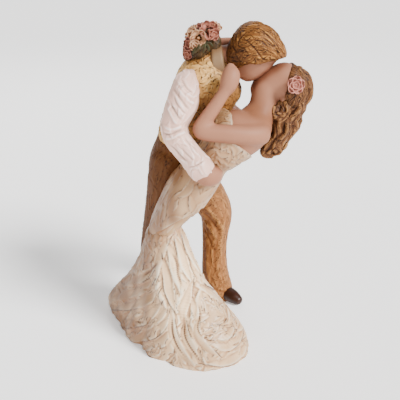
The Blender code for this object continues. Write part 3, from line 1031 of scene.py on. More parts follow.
class Casting:
    """Everything that the figurine is made of, and how it goes into the scene."""

    def __init__(self) -> None:
        """Starts with no pieces and no paints."""
        self.pieces: list[Piece] = []
        self.paints: dict[str, bpy.types.Material] = {}

    def add(self, name: str, skin: Skin, paint: ResinPaint, slot: Slot) -> None:
        """Takes a finished surface into the casting."""
        self.pieces.append(Piece(name, skin, paint, slot))
        LOG.info("%s: %d faces", name, len(skin.quads))

    def hollow_shades(self) -> list[Array]:
        """How deep in a hollow each point lies, which is where shade is painted.

        The surface's density in 2 mm cells is blurred, and read a little way out along each
        point's normal: open places read little, folds and places between limbs read much.

        Returns:
            One array from 0 to 1 for each piece.
        """
        cell, margin, out_by = 2.0, 30, 1.6
        open_level, full_span, rounds = 0.22, 0.75, 6
        clouds = [piece.skin.points for piece in self.pieces]
        low = np.min([c.min(axis=0) for c in clouds], axis=0) - margin
        high = np.max([c.max(axis=0) for c in clouds], axis=0) + margin
        shape = tuple(((high - low) / cell).astype(int) + 1)
        grid = np.zeros(shape)
        for piece in self.pieces:
            cubes = ((piece.skin.points[piece.skin.quads].mean(axis=1) - low) / cell).astype(int)
            np.add.at(grid, tuple(cubes.T), piece.skin.areas() / cell**2)
        found = [np.zeros(len(c)) for c in clouds]
        for reach, gain in ((2, 0.55), (4, 0.45)):
            blurred = grid
            for axis in range(3):
                for _ in range(2):
                    total = np.cumsum(blurred, axis=axis)
                    window = np.roll(total, -reach, axis) - np.roll(total, reach + 1, axis)
                    blurred = window / (2 * reach + 1)
            blurred = np.clip(blurred, 0, None)
            for i, piece in enumerate(self.pieces):
                out = piece.skin.points + piece.skin.normals() * cell * reach * out_by
                cubes = np.clip(((out - low) / cell).astype(int), 0, np.array(shape) - 1)
                found[i] += gain * blurred[tuple(cubes.T)] * reach
        deep = [smooth_step((level - open_level) / full_span) for level in found]
        return [piece.skin.relax(level, rounds)[:, 0] for piece, level in zip(self.pieces, deep)]

    def place(self) -> None:
        """Puts every piece into the scene, riding on the root in place of the CAD solid."""
        # Each piece carries its hollows' painted shade as an attribute, with its wash, crests and tint
        for piece, hollow_shade in zip(self.pieces, self.hollow_shades()):
            mesh = bpy.data.meshes.new(piece.name)
            mesh.from_pydata(to_metres(piece.skin.points).tolist(), [], piece.skin.quads.tolist())
            for name, values in (
                ("wash", piece.skin.wash),
                ("crest", piece.skin.crest),
                ("hollow_shade", hollow_shade),
                ("tint", piece.skin.tint),
            ):
                layer = mesh.attributes.new(name, "FLOAT", "POINT")
                layer.data.foreach_set("value", np.ascontiguousarray(values, dtype=np.float32))
            mesh.shade_smooth()
            made = bpy.data.objects.new(piece.name, mesh)
            bpy.context.scene.collection.objects.link(made)
            if piece.paint.name not in self.paints:
                self.paints[piece.paint.name] = piece.paint.material()
            mesh.materials.append(self.paints[piece.paint.name])
            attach(made, "root")
            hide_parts(NODE)


@dataclass
class Head:
    """A plain egg-shaped head with a jaw and no features, and the hair that covers it."""

    centre: Sequence[float]
    up: Sequence[float]
    front: Sequence[float]
    left: Sequence[float]
    scale: float
    hairline: tuple[float, float, float]
    peak: float
    hair_lift: float
    bun: float = 0.0
    bun_at: float = 0.75
    fringe: float = 0.0
    at_edge: float = 1.0
    rows: Rows = (
        (-20.5, 5.0, 4.0, 4.5, 5.5),
        (-18.5, 4.4, 7.5, 7.6, 8.6),
        (-14.0, 3.0, 10.6, 11.2, 12.0),
        (-7.5, 1.0, 12.9, 14.6, 15.3),
        (0.0, -0.5, 14.0, 16.0, 17.0),
        (7.0, -1.5, 14.5, 16.5, 18.0),
        (13.5, -2.0, 13.0, 14.5, 16.5),
        (18.0, -2.2, 9.5, 10.5, 12.0),
        (20.5, -2.2, 4.5, 4.5, 5.0),
    )

    def loft(self, relief: Relief | None = None) -> Loft:
        """Carries the rows of height, forward shift and half sizes into place.

        Args:
            relief: what stands off the head, mm.

        Returns:
            The head's body.
        """
        middle, up, front = (np.array(v, float) for v in (self.centre, self.up, self.front))
        stations = []
        for height, forward, wide, fore, back in self.rows:
            place = middle + self.scale * (up * height + front * forward)
            stations.append((*place, *(self.scale * r for r in (wide, fore, wide, back))))
        return Loft(stations, (self.left, self.left), 96, 14, (0.3, 0.3), 2.0, relief)

    def skull(self) -> Shell:
        """The bare head."""
        return self.loft().shell()

    def cover(self, angle: Array, share: Array, over: float = 0.025) -> Array:
        """Where hair covers the head: above a line from the forehead over the temples to the nape.

        Args:
            angle: round the head.
            share: from its foot to its top, 0 to 1.
            over: the share over which the hair sets in.

        Returns:
            0 below the line, 1 above it.
        """
        front, side, back = self.hairline
        fore = np.clip(np.sin(angle), 0, 1) ** self.peak
        rear = np.clip(-np.sin(angle), 0, 1) ** 1.2
        edge = side + (front - side) * fore + (back - side) * rear
        return np.clip((share - edge) / over, 0, 1)

    def hair(self) -> Shell:
        """The cap of hair: hair_lift off the head above the hairline, just inside it below.

        Returns:
            The closed cap.
        """

        def relief(angle: Array, share: Array) -> Array:
            """The hair's height over the head.

            Args:
                angle: round the head.
                share: from its foot to its top, 0 to 1.

            Returns:
                Millimetres that the hair stands off it.
            """
            rear, fore = np.clip(-np.sin(angle), 0, 1), np.clip(np.sin(angle), 0, 1) ** 2
            lift = self.hair_lift + self.bun * rear * np.exp(-(((share - self.bun_at) / 0.35) ** 2))
            lift = lift + self.fringe * fore * np.exp(-(((share - self.hairline[0]) / 0.13) ** 2))
            lift = lift * (self.at_edge + (1 - self.at_edge) * self.cover(angle, share, 0.16))
            return -3.5 + self.cover(angle, share) * (lift + 2.0)

        return self.loft(relief).shell()


@dataclass
class Dress:
    """The bride's strapless dress: fitted to the knees, then a train spread on the floor."""

    fitted_rows: Rows = (
        (-33, -9, 104, 12, 11, 12, 9.5),
        (-30, -11, 115, 15.5, 13, 15, 10.5),
        (-24, -15, 127, 19.5, 15, 18.5, 12),
        (-16, -18, 140, 23.5, 17.5, 22.5, 14.5),
        (-8, -20, 154, 25, 18.5, 25, 16),
        (2, -20, 169, 22, 16.5, 22, 15.5),
        (10, -19, 180, 18, 15, 18, 13.8),
        (18, -18, 187, 20, 20.5, 20, 15.5),
        (26.5, -16, 195, 22, 25, 22, 18.5),
        (33, -14, 199.5, 22, 24.5, 22, 18.2),
    )
    hem: Rows = (
        (-92, 42), (-82, 18), (-70, -3), (-53, -26), (-34, -45), (-11, -55), (14, -58), (34, -48),
        (43, -27), (38, -9), (22, 3), (0, 12), (-26, 22), (-52, 36), (-76, 47),
    )
    middle: tuple[float, float] = (-24.0, -8.0)
    knee: tuple[float, float, float] = (-30.5, -11.0, 118.0)
    knee_radius: float = 14.2
    fall: Sequence[float] = (0.0, 0.11, 0.22, 0.30, 0.38, 0.51, 0.60, 0.70, 0.76, 0.83, 0.90, 0.97, 1.0)
    opened: Sequence[float] = (
        0.0, 0.08, 0.16, 0.215, 0.285, 0.43, 0.56, 0.69, 0.78, 0.885, 0.955, 0.995, 1.0,
    )
    fold: float = 3.2
    under_thigh: Rows = (
        (168, 228, -12, 9.5), (174.8, 220.4, -13, 7), (186.7, 213.8, -15, 4.5), (197.4, 209.5, -17, 2.2),
    )
    scores: Rows = ((135, 308, -25), (150, 345, -45), (212, 332, -45), (232, 318, -35), (150, 235, -15))
    knife: Brush = Brush(
        13.0, 4.4, 1.5, 2.2, scatter=0.18, point=0.5, edge=0.9, line=0.40, wash=0.85, broken=0.62, bend=0.8
    )
    fine_knife: Brush = Brush(
        7.0, 2.4, 1.1, 0.55, scatter=0.4, point=0.7, edge=0.8, wash=0.9, broken=0.55, bend=0.8
    )
    scratch: Brush = Brush(
        4.5, 1.5, 0.8, 0.5, scatter=0.5, point=0.8, tilt=1.0, edge=0.6, broken=0.3, vary=0.6, bend=1.0
    )
    fitted_knife: Brush = Brush(
        9.0, 3.0, 0.9, 2.2, point=0.5, edge=0.9, wash=0.8, broken=0.62, bend=0.7
    )
    lace: Brush = Brush(
        4.2, 1.9, 0.8, 3.0, scatter=3.0, point=0.5, tilt=1.0, edge=0.6, wash=0.9, broken=0.55, vary=0.6,
        bend=1.0,
    )
    swept: Brush = Brush(0, 0, 1.8, 0, point=0.6, tilt=0.95, edge=0.8, line=0.42, broken=0.32)
    sweeps: Sequence[tuple[float, float, Rows]] = (
        (4.5, 1, ((172, 343), (168, 353), (158, 362), (148, 366))),
        (4.5, 1, ((172, 330), (163, 342), (143, 352), (130, 350))),
        (4.5, 1, ((170, 319), (155, 333), (132, 340), (118, 338))),
        (4.5, 1, ((162, 303), (148, 318), (125, 327), (108, 326))),
        (4.0, 1, ((158, 290), (150, 299), (133, 306), (112, 310))),
        (4.0, 1, ((157, 277), (141, 290), (122, 297), (108, 300))),
        (3.5, 1, ((158, 265), (146, 276), (133, 283), (122, 288))),
        (4.0, -1, ((200, 276), (213, 290), (225, 300), (233, 310), (242, 322))),
        (4.5, -1, ((193, 283), (205, 290), (221, 303), (229, 317), (223, 330), (210, 337))),
        (4.5, 1, ((246, 326), (238, 340), (226, 347), (212, 346))),
        (4.0, 1, ((248, 340), (241, 354), (226, 363), (206, 365))),
        (3.5, 1, ((232, 322), (229, 334), (219, 340), (206, 336))),
        (3.5, -1, ((180, 229), (185, 244), (191, 258), (200, 275))),
        (4.0, -1, ((174, 236), (180, 250), (184, 266), (191, 283))),
        (4.0, -1, ((166, 240), (172, 256), (175, 272), (180, 290))),
        (3.5, 1, ((170, 238), (163, 248), (159, 262), (158, 280))),
        (4.0, -1, ((163, 258), (167, 276), (169, 292), (175, 312))),
        (4.0, 1, ((193, 280), (188, 296), (183, 312), (183, 328))),
        (4.5, 1, ((172, 308), (172, 328), (176, 343), (186, 358), (198, 370))),
        (4.5, 1, ((184, 318), (185, 335), (193, 350), (207, 366))),
        (3.5, 1, ((199, 318), (197, 333), (204, 346), (219, 357))),
    )
    pleats: Sequence[tuple[float, float, float, Rows]] = (
        (1.0, -0.9, 1.0, ((170, 250), (176, 262), (178, 276), (184, 290))),
        (1.0, -0.9, 1.0, ((182, 246), (188, 258), (192, 270), (200, 284))),
        (1.0, -0.8, 1.0, ((156, 250), (152, 262), (148, 276), (140, 290))),
        (1.0, -0.9, 1.0, ((196, 300), (200, 314), (198, 330), (206, 344))),
        (6.0, -2.4, 0.0, ((151, 266), (149, 280), (150, 295), (154, 312))),
        (3.2, 2.6, 0.0, ((159, 257), (158.5, 270), (158, 284), (162, 298), (168, 314))),
        (1.3, -1.2, 0.9, ((160, 261), (153, 268), (147, 273), (141, 278))),
        (6.0, 1.6, 0.0, ((143, 262), (133, 280), (124, 294), (116, 306))),
        (4.5, -2.0, 0.0, ((200, 273), (191, 298), (184, 322), (190, 344))),
        (7.0, 2.2, 0.0, ((176, 262), (180, 280), (178, 300), (176, 318))),
        (7.0, 1.8, 0.0, ((206, 300), (222, 312), (232, 330), (224, 348))),
        (1.2, -1.3, 1.0, ((173, 312), (172, 330), (176, 345), (188, 362))),
        (1.2, -1.1, 1.0, ((185, 318), (184, 335), (192, 351), (206, 367))),
    )

    def folds(self, angle: Array, share: float) -> Array:
        """Folds, as broad and fine |sine| waves that swing round as they run down.

        Args:
            angle: round the train.
            share: how far down, 0 to 1, with more depth the lower.

        Returns:
            Millimetres that the folds stand out.
        """
        depth = float(np.clip((share - 0.42) / 0.5, 0, 1)) ** 1.2
        swing = angle + 2.6 * share
        broad = np.abs(np.sin(3.5 * swing)) ** 0.7
        fine = np.abs(np.sin(8 * swing + 2.5 * np.sin(2 * angle) + 5 * share)) ** 0.8
        return depth * self.fold * (broad + 0.6 * fine - 0.9)

    def train_shell(self) -> Shell:
        """Level rings from the knees to the hem.

        Returns:
            Rings whose reach goes from the knees' radius to the hem's outline.
        """
        sides, levels = 260, 110
        angle = np.linspace(0, 2 * math.pi, sides, endpoint=False)
        middle = np.array(self.middle)
        points = np.array(self.hem, float) - middle
        bearing = np.arctan2(points[:, 1], points[:, 0]) % (2 * math.pi)
        order = np.argsort(bearing)
        far = np.hypot(points[:, 0], points[:, 1])
        reach = np.interp(angle, bearing[order], far[order], period=2 * math.pi)
        rings = []
        knee = np.array(self.knee[:2])
        for share in np.linspace(0, 1, levels):
            spread = float(np.interp(share, self.fall, self.opened))
            centre = knee + (middle - knee) * spread
            gathered = self.knee_radius * (0.82 + 0.18 * float(smooth_step(share / 0.09)))
            out = gathered + (reach - gathered) * spread
            out = out + self.folds(angle, 0.45 + 0.55 * share) * (0.25 + 0.75 * spread)
            level = np.full(sides, self.knee[2] * (1 - share))
            x, y = centre[0] + out * np.cos(angle), centre[1] + out * np.sin(angle)
            rings.append(np.stack([x, y, level], axis=1))
        sunk = rings[-1].copy()
        sunk[:, 2] = -SINK
        stack = np.array(rings + [sunk])[::-1]
        return ring_shell(stack, stack[0].mean(0)[None], (stack[-1].mean(0) + (0, 0, 4))[None])

    def train_flow(self, points: Array) -> Array:
        """Strokes run down and outwards from the knees, and swing round as they near the floor.

        Args:
            points: places in clay millimetres.

        Returns:
            A direction for each.
        """
        away = points - np.array(self.knee)
        down = np.stack([away[:, 0], away[:, 1], -60 - 0.4 * (118 - points[:, 2])], axis=1)
        round_about = np.stack([-away[:, 1], away[:, 0], 0 * away[:, 0]], axis=1)
        low = smooth_step((90 - points[:, 2]) / 90)[:, None]
        return unit(unit(down) - 0.9 * low * unit(round_about))

    def painted_shade(self, points: Array) -> Array:
        """Where shade is painted on the dress, in soft blotches.

        Args:
            points: places in clay millimetres.

        Returns:
            0 to 0.95: painted shade, some everywhere, more above the knees and past a slanting line
            from her hip to the train's left, away from the light, and less where the train falls from
            the knees, which is painted lighter as a highlight.
        """
        x, z = points[:, 0], points[:, 2]
        # Painted shade grows past a slanting line towards the train's left, away from the light
        side = (-22.0 - x + 0.16 * (z - 60)) / 34.0
        blotch = 0.75 + 0.5 * wave_noise(points, 24.0, 3)
        # Painted highlight: less painted shade where the train falls from the knees
        lit_below_knees = np.exp(-(((x + 20) / 20) ** 2) - ((z - 68) / 34) ** 2)
        high = smooth_step((z - 96) / 24)
        return np.clip(0.42 + (0.3 * high + 0.6 * smooth_step(side)) * blotch - 0.8 * lit_below_knees, 0, 0.95)

    def scored(self, points: Array) -> Array:
        """Where short scores gather: low on the train's left, round its right, and at the knees."""
        places = FRONT.solid(self.scores)
        return 0.12 + np.clip(spots(points, places, 17), 0, 1)

    def build(self, casting: Casting) -> None:
        """Carves the train and the fitted part.

        Args:
            casting: what they are added to.
        """
        under = Limb(FRONT.solid(self.under_thigh).tolist()).shell()
        train = CLAY["dress_train"].carving([self.train_shell(), under])
        sweeps = [(width, high, FRONT.draw(train.tree, path)) for width, high, path in self.sweeps]
        flow = drawn([curve for _, _, curve in sweeps if len(curve) > 3], 14.0, self.train_flow)
        train.lay(self.knife, flow)
        train.lay(self.fine_knife, flow)
        for width, high, curve in sweeps:
            train.sweep(curve, width, self.swept, high)
        train.lay(self.scratch, flow, self.scored(train.skin.points))
        for width, height, wash, path in self.pleats:
            train.ridge(FRONT.draw(train.tree, path), width, height, wash)
        # The form's ridges get painted highlight and its valleys painted shade
        skin = train.finish(1, valley=0.3)
        # The tint paints shade on the side away from the light, and leaves a painted highlight below the
        # knees
        skin.tint = self.painted_shade(skin.points)
        casting.add("dress_train", skin, IVORY, Slot.DRESS)
        loft = Loft(self.fitted_rows, BRIDE_LEFT, 120, 16, (0.15, 0.03))
        fitted = CLAY["dress_bodice_and_skirt"].carving([loft.shell()])
        points = fitted.skin.points
        bodice = smooth_step((points[:, 0] - 6) / 10)  # 0 on the skirt, 1 on the bodice
        fitted.lay(self.fitted_knife, along([loft.axis()]), 1 - 0.9 * bodice)
        fitted.lay(self.lace, any_way(7), bodice)
        fitted.tuck(past(points, (200, 209, -17), (149, 237, -15)), 2.5)
        side = past(points, (232, 106, -14), (233, 140, -16))
        back = past(points, (229, 138, -16), (254, 158, -18))
        fitted.tuck(np.minimum(side, back), 6.5)
        skin = fitted.finish(1)
        # The same painted shade on the fitted part
        skin.tint = self.painted_shade(skin.points)
        casting.add("dress_bodice_and_skirt", skin, IVORY, Slot.DRESS)


@dataclass
class Bride:
    """Her body, head, hair and rose."""

    head: Head = field(
        default_factory=lambda: Head(
            (61.3, 5, 233.7), (0.88, 0.0, 0.47), (-0.47, 0.0, 0.88), (0.0, -1.0, 0.0), 0.98,
            (0.83, 0.60, 0.33), 1.5, 4.0, 6.0, 0.75, at_edge=0.4,
        )
    )
    torso: Rows = (
        (10, -19, 180, 16, 12, 16, 12),
        (18, -18, 187, 18.5, 19, 18.5, 14),
        (26.5, -16, 195, 20.5, 22.5, 20.5, 17.5),
        (36, -12, 201, 21.5, 19.5, 21.5, 17.5),
        (43, -9, 206, 19.5, 15.5, 19.5, 14.5),
        (47.5, -6, 213, 12, 11, 12, 9.5),
    )
    neck: Rows = (
        (45, -8, 209, 11, 15, 11, 13),
        (49, -5, 216, 10, 12, 10, 12),
        (51, -2, 222, 10, 11.5, 10, 11.5),
        (53, 1, 228, 10.5, 12.5, 10.5, 12),
        (57, 4, 233, 11, 12, 11, 11),
    )
    near_arm: Rows = (
        (42, -20, 204, 9.5), (46, -26, 203, 9.0), (37, -32, 204, 7.8), (22, -35, 206, 7.2),
        (6, -36, 207.5, 6.8), (0.5, -35.5, 209.5, 6.3), (4, -33, 216, 5.9), (9, -31, 223, 5.5),
        (16, -28, 233, 4.9), (18.5, -27, 237, 4.8),
    )
    near_hand: Rows = (
        (18.5, -26.5, 236, 4.9), (21, -25, 241, 6.8), (22.8, -22, 246.5, 7.3),
        (22.8, -19.5, 251, 5.8), (22.6, -18.5, 253.5, 3.4),
    )
    far_arm: Rows = (
        (40, 5, 206, 9.0), (45, 12, 207, 8.6), (52, 28, 222, 7.2), (54, 43, 240, 6.5),
        (49, 44, 249, 5.9), (39, 38, 257, 5.0), (27, 30, 261.5, 4.6), (18, 24, 262.5, 4.8), (9, 18, 262, 5.0),
    )
    locks: Sequence[Rows] = (
        ((298, 70, 3, 4), (303, 79, 2, 6), (305, 90, 1, 6.5), (303, 97, 0, 6), (297, 104, -2, 5.5),
         (290, 106, -5, 4)),
        ((298, 96, -4, 5), (299, 106, -4, 5.6), (294, 113, -5, 5.6), (290, 120, -5, 5.2), (293, 126, -4, 4.6),
         (289, 133, -4, 4.2), (285, 138, -4, 3)),
        ((300, 102, 4, 5), (296, 111, 3, 5.2), (296, 119, 2, 5), (294, 125, 2, 4.8), (289, 131, 1, 4.6),
         (285, 138, 0, 4.2), (283, 144, -2, 4.2), (279, 149, -3, 2.6)),
        ((284, 104, -6, 4.5), (281, 112, -7, 5.2), (279, 121, -7, 5.6), (279, 131, -6, 5.6),
         (275, 140, -6, 5.4), (269, 147, -6, 5), (266, 151, -6, 4), (272, 154, -6, 2.6)),
        ((285, 102, -8, 2.6), (287, 109, -9.5, 3.2), (282, 115, -10, 3.4), (276, 113, -10, 3.2),
         (275, 107, -9, 2.6)),
        ((286, 118, -7, 4), (287, 128, -8, 4.6), (281, 137, -8, 4.8), (277, 145, -8, 4.6),
         (279, 150, -7, 3.4), (274, 153, -6, 2.2)),
        ((297, 95, 12, 6), (291, 108, 13, 6), (285, 120, 12, 6), (279, 132, 11, 5.5), (274, 143, 10, 4.5)),
        ((289, 100, 4, 8), (283, 112, 4, 8), (279, 125, 3, 7), (275, 138, 2, 6), (271, 147, 1, 4)),
    )
    # Spots of painted shade over her shoulder blade and down her back
    back_shade_spots: Rows = ((256, 112, -15), (264, 128, -15), (268, 150, -14))
    combed: Sequence[Rows] = (
        ((292, 63.4), (300.7, 66.3), (307.9, 76.3), (311, 87.7), (308.5, 99), (300.7, 108)),
        ((292, 67.7), (299.3, 72), (305, 80.6), (306.4, 92), (302, 102), (296, 107)),
        ((290.7, 74.9), (300.7, 79), (303.6, 89), (299.3, 97.7), (292, 99)),
        ((289.5, 84), (293, 92), (298, 101), (301, 108)),
    )
    strand: Brush = Brush(
        10.0, 1.35, 0.75, 4.2, scatter=0.10, point=0.9, crown=0.4, edge=0.5, line=0.34, broken=0.25, bend=1.0
    )
    hair_line: Brush = Brush(
        5.0, 0.8, 0.45, 1.0, scatter=0.2, point=0.9, tilt=0.8, crown=0.5, edge=0.4, line=0.3, broken=0.3,
        bend=0.9,
    )
    band: Brush = Brush(
        11.0, 2.0, 0.8, 2.2, scatter=0.04, point=0.9, tilt=0.8, crown=0.6, edge=0.7, wash=0.7, broken=0.62,
        bend=0.6,
    )

    def twist(self, angle: Array, share: Array) -> Array:
        """Coarse strands that twist along a lock."""
        return 0.7 * np.sin(4 * angle + 7 * share) + 0.35 * np.sin(7 * angle - 5 * share)

    def cap_flow(self, points: Array) -> Array:
        """Hair is drawn from the forehead over the crown, and falls behind.

        Args:
            points: places in clay millimetres.

        Returns:
            A direction for each, square to the way from the head's middle.
        """
        middle = np.array(self.head.centre)
        return unit(np.cross(points - middle, np.array([0.0, -1.0, 0.0])) + np.array([0.0, 0.0, -4.0]))

    def shaded(self, points: Array) -> Array:
        """How strongly shade is painted, 0 to 1, over her shoulder blade and down her back."""
        return np.clip(spots(points, FRONT.solid(self.back_shade_spots), 13), 0, 1)

    def build(self, casting: Casting) -> None:
        """Fuses her skin, and carves her hair.

        Args:
            casting: what they are added to.
        """
        body = Loft(self.torso, BRIDE_LEFT, 80, 12).shell()
        limbs = [Limb(rows).shell() for rows in (self.near_arm, self.near_hand, self.far_arm)]
        neck = Loft(self.neck, BRIDE_LEFT, 60, 10).shell()
        lobe = egg(FRONT.solid([(284, 99, -9)])[0], (1.6, 2.2, 3.0), (0.77, 0, 0.64), (0, 1, 0))
        skin = CLAY["bride_skin"].carving([body, neck, self.head.skull(), lobe, *limbs]).finish()
        # The tint paints shade on her back
        skin.tint = self.shaded(skin.points)
        casting.add("bride_skin", skin, FLESH, Slot.SKIN)
        cap = CLAY["bride_hair_cap"].carving([self.head.hair()])
        flow = drawn(cap.draw(self.combed), 9.0, self.cap_flow)
        cap.lay(self.strand, flow)
        cap.lay(self.hair_line, flow)
        casting.add("bride_hair_cap", cap.finish(), LOCKS, Slot.HAIR)
        locks = [
            Limb(FRONT.solid(rows).tolist(), 48, 10, (0.9, 0.9), relief=self.twist) for rows in self.locks
        ]
        curls = CLAY["bride_curls"].carving([lock.shell() for lock in locks])
        flow = along([lock.axis() for lock in locks])
        curls.lay(self.band, flow)
        curls.lay(self.hair_line, flow)
        # The locks' rounds get painted highlight and the valleys between them painted shade
        casting.add("bride_curls", curls.finish(valley=0.9), LOCKS, Slot.HAIR)


@dataclass
class Groom:
    """His body, clothes, head and hair."""

    head: Head = field(
        default_factory=lambda: Head(
            (44, 4.5, 257.5), (0.62, 0.0, 0.785), (0.785, -0.05, -0.62), (0.05, 1.0, 0.02), 1.0,
            (0.70, 0.40, 0.20), 1.6, 4.2, 4.0, 0.3, 2.4,
        )
    )
    waistcoat: Rows = (
        (-14, 18.5, 189, 24.8, 21, 24.8, 20.5),
        (-12, 18, 197, 25.5, 23, 25.5, 20),
        (-6, 16, 212, 28, 27, 28, 21),
        (1, 14, 226, 29, 28.5, 29, 22.5),
        (7, 13, 238, 27, 29, 27, 22.5),
        (12, 12, 247, 19, 22, 19, 17.5),
        (16, 11, 252, 13, 13, 13, 13),
    )
    collar: Rows = ((12, 10, 249.5, 14.2), (16, 9.5, 250.2, 13.8), (19.5, 9, 251, 13.2))
    neck: Rows = ((14, 10.5, 252, 10.3), (24, 8.5, 254.5, 10), (36, 6, 256, 10.5))
    pelvis: Rows = (
        (-18, 20, 134, 17, 14, 17, 16),
        (-19, 20, 144, 24, 18, 24, 22),
        (-19, 20, 156, 25.5, 18.5, 25.5, 25),
        (-18, 19.5, 168, 24, 18, 24, 24),
        (-16, 19, 182, 23, 18, 23, 20),
        (-13.5, 18.5, 190, 22.5, 18.5, 22.5, 17),
    )
    near_leg: Rows = (
        (-25, 9, 168, 17.0), (-26, 8.5, 152, 18.6), (-29, 10, 135, 17.6), (-34, 14, 110, 16.0),
        (-38.5, 20, 90, 14.8), (-43, 27, 62, 13.4), (-46, 34, 35, 12.6), (-48, 38, 14, 13.2),
        (-48.5, 39, 6, 13.2),
    )
    far_leg: Rows = (
        (-16, 30, 168, 16.0), (-13, 32, 152, 17.6), (-3, 40, 135, 17.8), (7, 49, 117, 17.0),
        (14.5, 56, 100, 15.6), (16, 58, 88, 14.4), (15, 58, 72, 12.6), (14.5, 58, 53, 11.9),
        (15, 57, 34, 12.8), (17, 57, 20, 13.4), (19, 56.5, 9, 14.0), (20, 56, 2, 14.2),
    )
    leg_folds: Sequence[tuple[float, float, Rows]] = (
        (2.0, 1.6, ((205, 206), (212, 213), (219, 222), (225, 232))),
        (1.6, -1.5, ((203, 211), (209, 218), (216, 227), (222, 236))),
        (1.8, 1.4, ((202, 217), (207, 224), (213, 233), (218, 243))),
        (1.6, -1.3, ((202, 225), (207, 234), (211, 244), (213, 252))),
        (2.2, 1.2, ((225, 214), (223, 228), (221, 246), (222, 264))),
        (2.0, -1.0, ((217, 240), (215, 254), (215, 270), (219, 284))),
        (1.8, 1.0, ((209, 250), (207, 264), (209, 278), (215, 290))),
        (1.4, -1.0, ((207, 282), (213, 288), (221, 292), (228, 292))),
    )
    shoes: Sequence[Rows] = (
        ((12, 60, 6, 8), (22, 54, 6.5, 8), (29, 48.5, 6.5, 7.8), (34.5, 43, 6, 7), (38.5, 39.5, 4.8, 5.4)),
        ((-57, 43, 5, 7.5), (-48, 39, 7, 8.5), (-36, 35, 6, 8.0), (-25, 31, 4, 7.2)),
    )
    near_sleeve: Rows = (
        (189, 75, -8, 5.5), (186.3, 81, -15, 8.8), (184.5, 92, -22, 10.8), (182, 103, -27, 11.6),
        (177.5, 113, -30, 10.8), (174.2, 123, -31, 10.0), (174.5, 131, -33, 10.0), (180, 142, -36, 9.5),
        (188, 152, -39, 8.9), (196, 162, -42, 8.6),
    )
    near_cuff: Rows = ((194, 160, -41, 9.4), (198.5, 165, -42.5, 9.8), (202.5, 170, -43.5, 9.6))
    # Spots of painted shade on the waistcoat: low at its front, along its edge by the bride, and low at its
    # back
    waistcoat_shade_spots: Rows = (
        (200, 128, -10), (209, 122, -12), (216, 112, -14), (231, 104, -10), (239, 92, -8), (153, 136, 15),
    )
    parting: Sequence[Rows] = (
        ((257, 26), (266, 32), (273, 40), (278, 50), (281, 57)),
        ((243, 36), (250, 42), (256, 48), (262, 56), (270, 61)),
        ((236, 30), (233, 40), (235, 48), (241, 54)),
        ((262, 36), (270, 41), (276, 49)),
        ((248, 30), (240, 38), (238, 46)),
        ((252, 38), (262, 40), (268, 45)),
    )
    near_folds: Sequence[tuple[float, float, Rows]] = (
        (1.4, -1.7, ((172, 86), (178, 95), (185, 104), (190, 110))),
        (1.3, -1.5, ((169, 98), (173, 108), (178, 116), (183, 121))),
        (1.4, 1.4, ((175, 83), (182, 93), (190, 101), (196, 103))),
        (1.2, 1.2, ((166, 103), (170, 112), (174, 120), (178, 124))),
        (1.1, -1.3, ((180, 76), (186, 86), (194, 93))),
        (1.2, 1.1, ((176, 77), (182, 88), (190, 95), (197, 97))),
        (1.0, -1.1, ((173, 92), (176, 102), (182, 110), (188, 114))),
        (1.3, 1.5, ((162, 124), (169, 128.5), (177, 127.5), (184, 123))),
        (1.2, -1.6, ((161.5, 131), (168, 134), (177, 131), (186, 127))),
        (1.2, 1.3, ((163, 138), (171, 138), (179, 134), (187, 131))),
        (1.1, -1.3, ((168, 142), (176, 150), (182, 157), (188, 163))),
        (1.2, 1.1, ((178, 133), (186, 144), (195, 152), (202, 158))),
        (0.9, -1.2, ((174, 139), (182, 149), (190, 157), (196, 162))),
        (0.8, -0.9, ((183, 135), (190, 144), (198, 150))),
        (0.8, -1.3, ((187.5, 167), (194, 166), (200, 163), (205.5, 158.5))),
    )
    far_sleeve: Rows = (
        (11, 32, 243, 11.0), (16, 42, 240, 11.5), (16, 48, 226, 11.5), (17, 51, 210, 11.0),
        (22, 48, 199, 10.8), (34, 37, 192, 9.8), (44, 25, 188, 8.8), (47, 20, 186, 8.6),
    )
    far_cuff: Rows = ((43, 27, 189, 9.4), (48, 17, 186, 9.5))
    near_hand: Rows = (
        (0, -44.5, 180, 7.4), (5, -43.5, 176.5, 8.8), (9.5, -40, 174.5, 7.9), (12.5, -34, 173.5, 5.6),
        (13, -29, 173, 4.0),
    )
    far_hand: Rows = ((45, 24, 188, 6.5), (48, 16, 190, 7.8), (49, 9, 191, 7.0), (49, 3, 192, 4.5))
    combed: Sequence[Rows] = (
        ((235, 29), (248, 23.5), (262, 22.7), (273.6, 29), (280.7, 40.6), (283.6, 52)),
        ((242, 32), (255, 29), (266.4, 33.4), (275, 42), (279.3, 52)),
        ((243.6, 42), (256.4, 39), (267.9, 40.6), (276.4, 47.7), (282, 53.4)),
        ((242, 50.6), (255, 46.3), (266.4, 46.3), (277.9, 53.4)),
        ((246.4, 56.3), (257.9, 52), (269.3, 52), (279.3, 54.9)),
        ((249.3, 60.6), (259.3, 57.7), (270.7, 57.7), (277.9, 57.7)),
        ((233.6, 32), (230.7, 40.6), (229.3, 49), (233.6, 53.4)),
        ((239.3, 32), (236.4, 43.4), (236.4, 52), (243.6, 56.3)),
    )
    strand: Brush = Brush(
        15.0, 1.5, 0.9, 4.2, scatter=0.07, point=0.9, crown=0.4, edge=0.5, line=0.34, broken=0.42, bend=0.7
    )
    hair_line: Brush = Brush(
        5.0, 0.8, 0.45, 1.2, scatter=0.25, point=0.9, tilt=0.8, crown=0.5, edge=0.4, line=0.3, broken=0.3,
        bend=0.9,
    )
    cloth: Brush = Brush(
        12.0, 2.4, 0.6, 2.6, scatter=0.16, point=0.8, edge=1.0, line=0.38, wash=0.8, broken=0.62, vary=0.5,
        bend=0.8,
    )
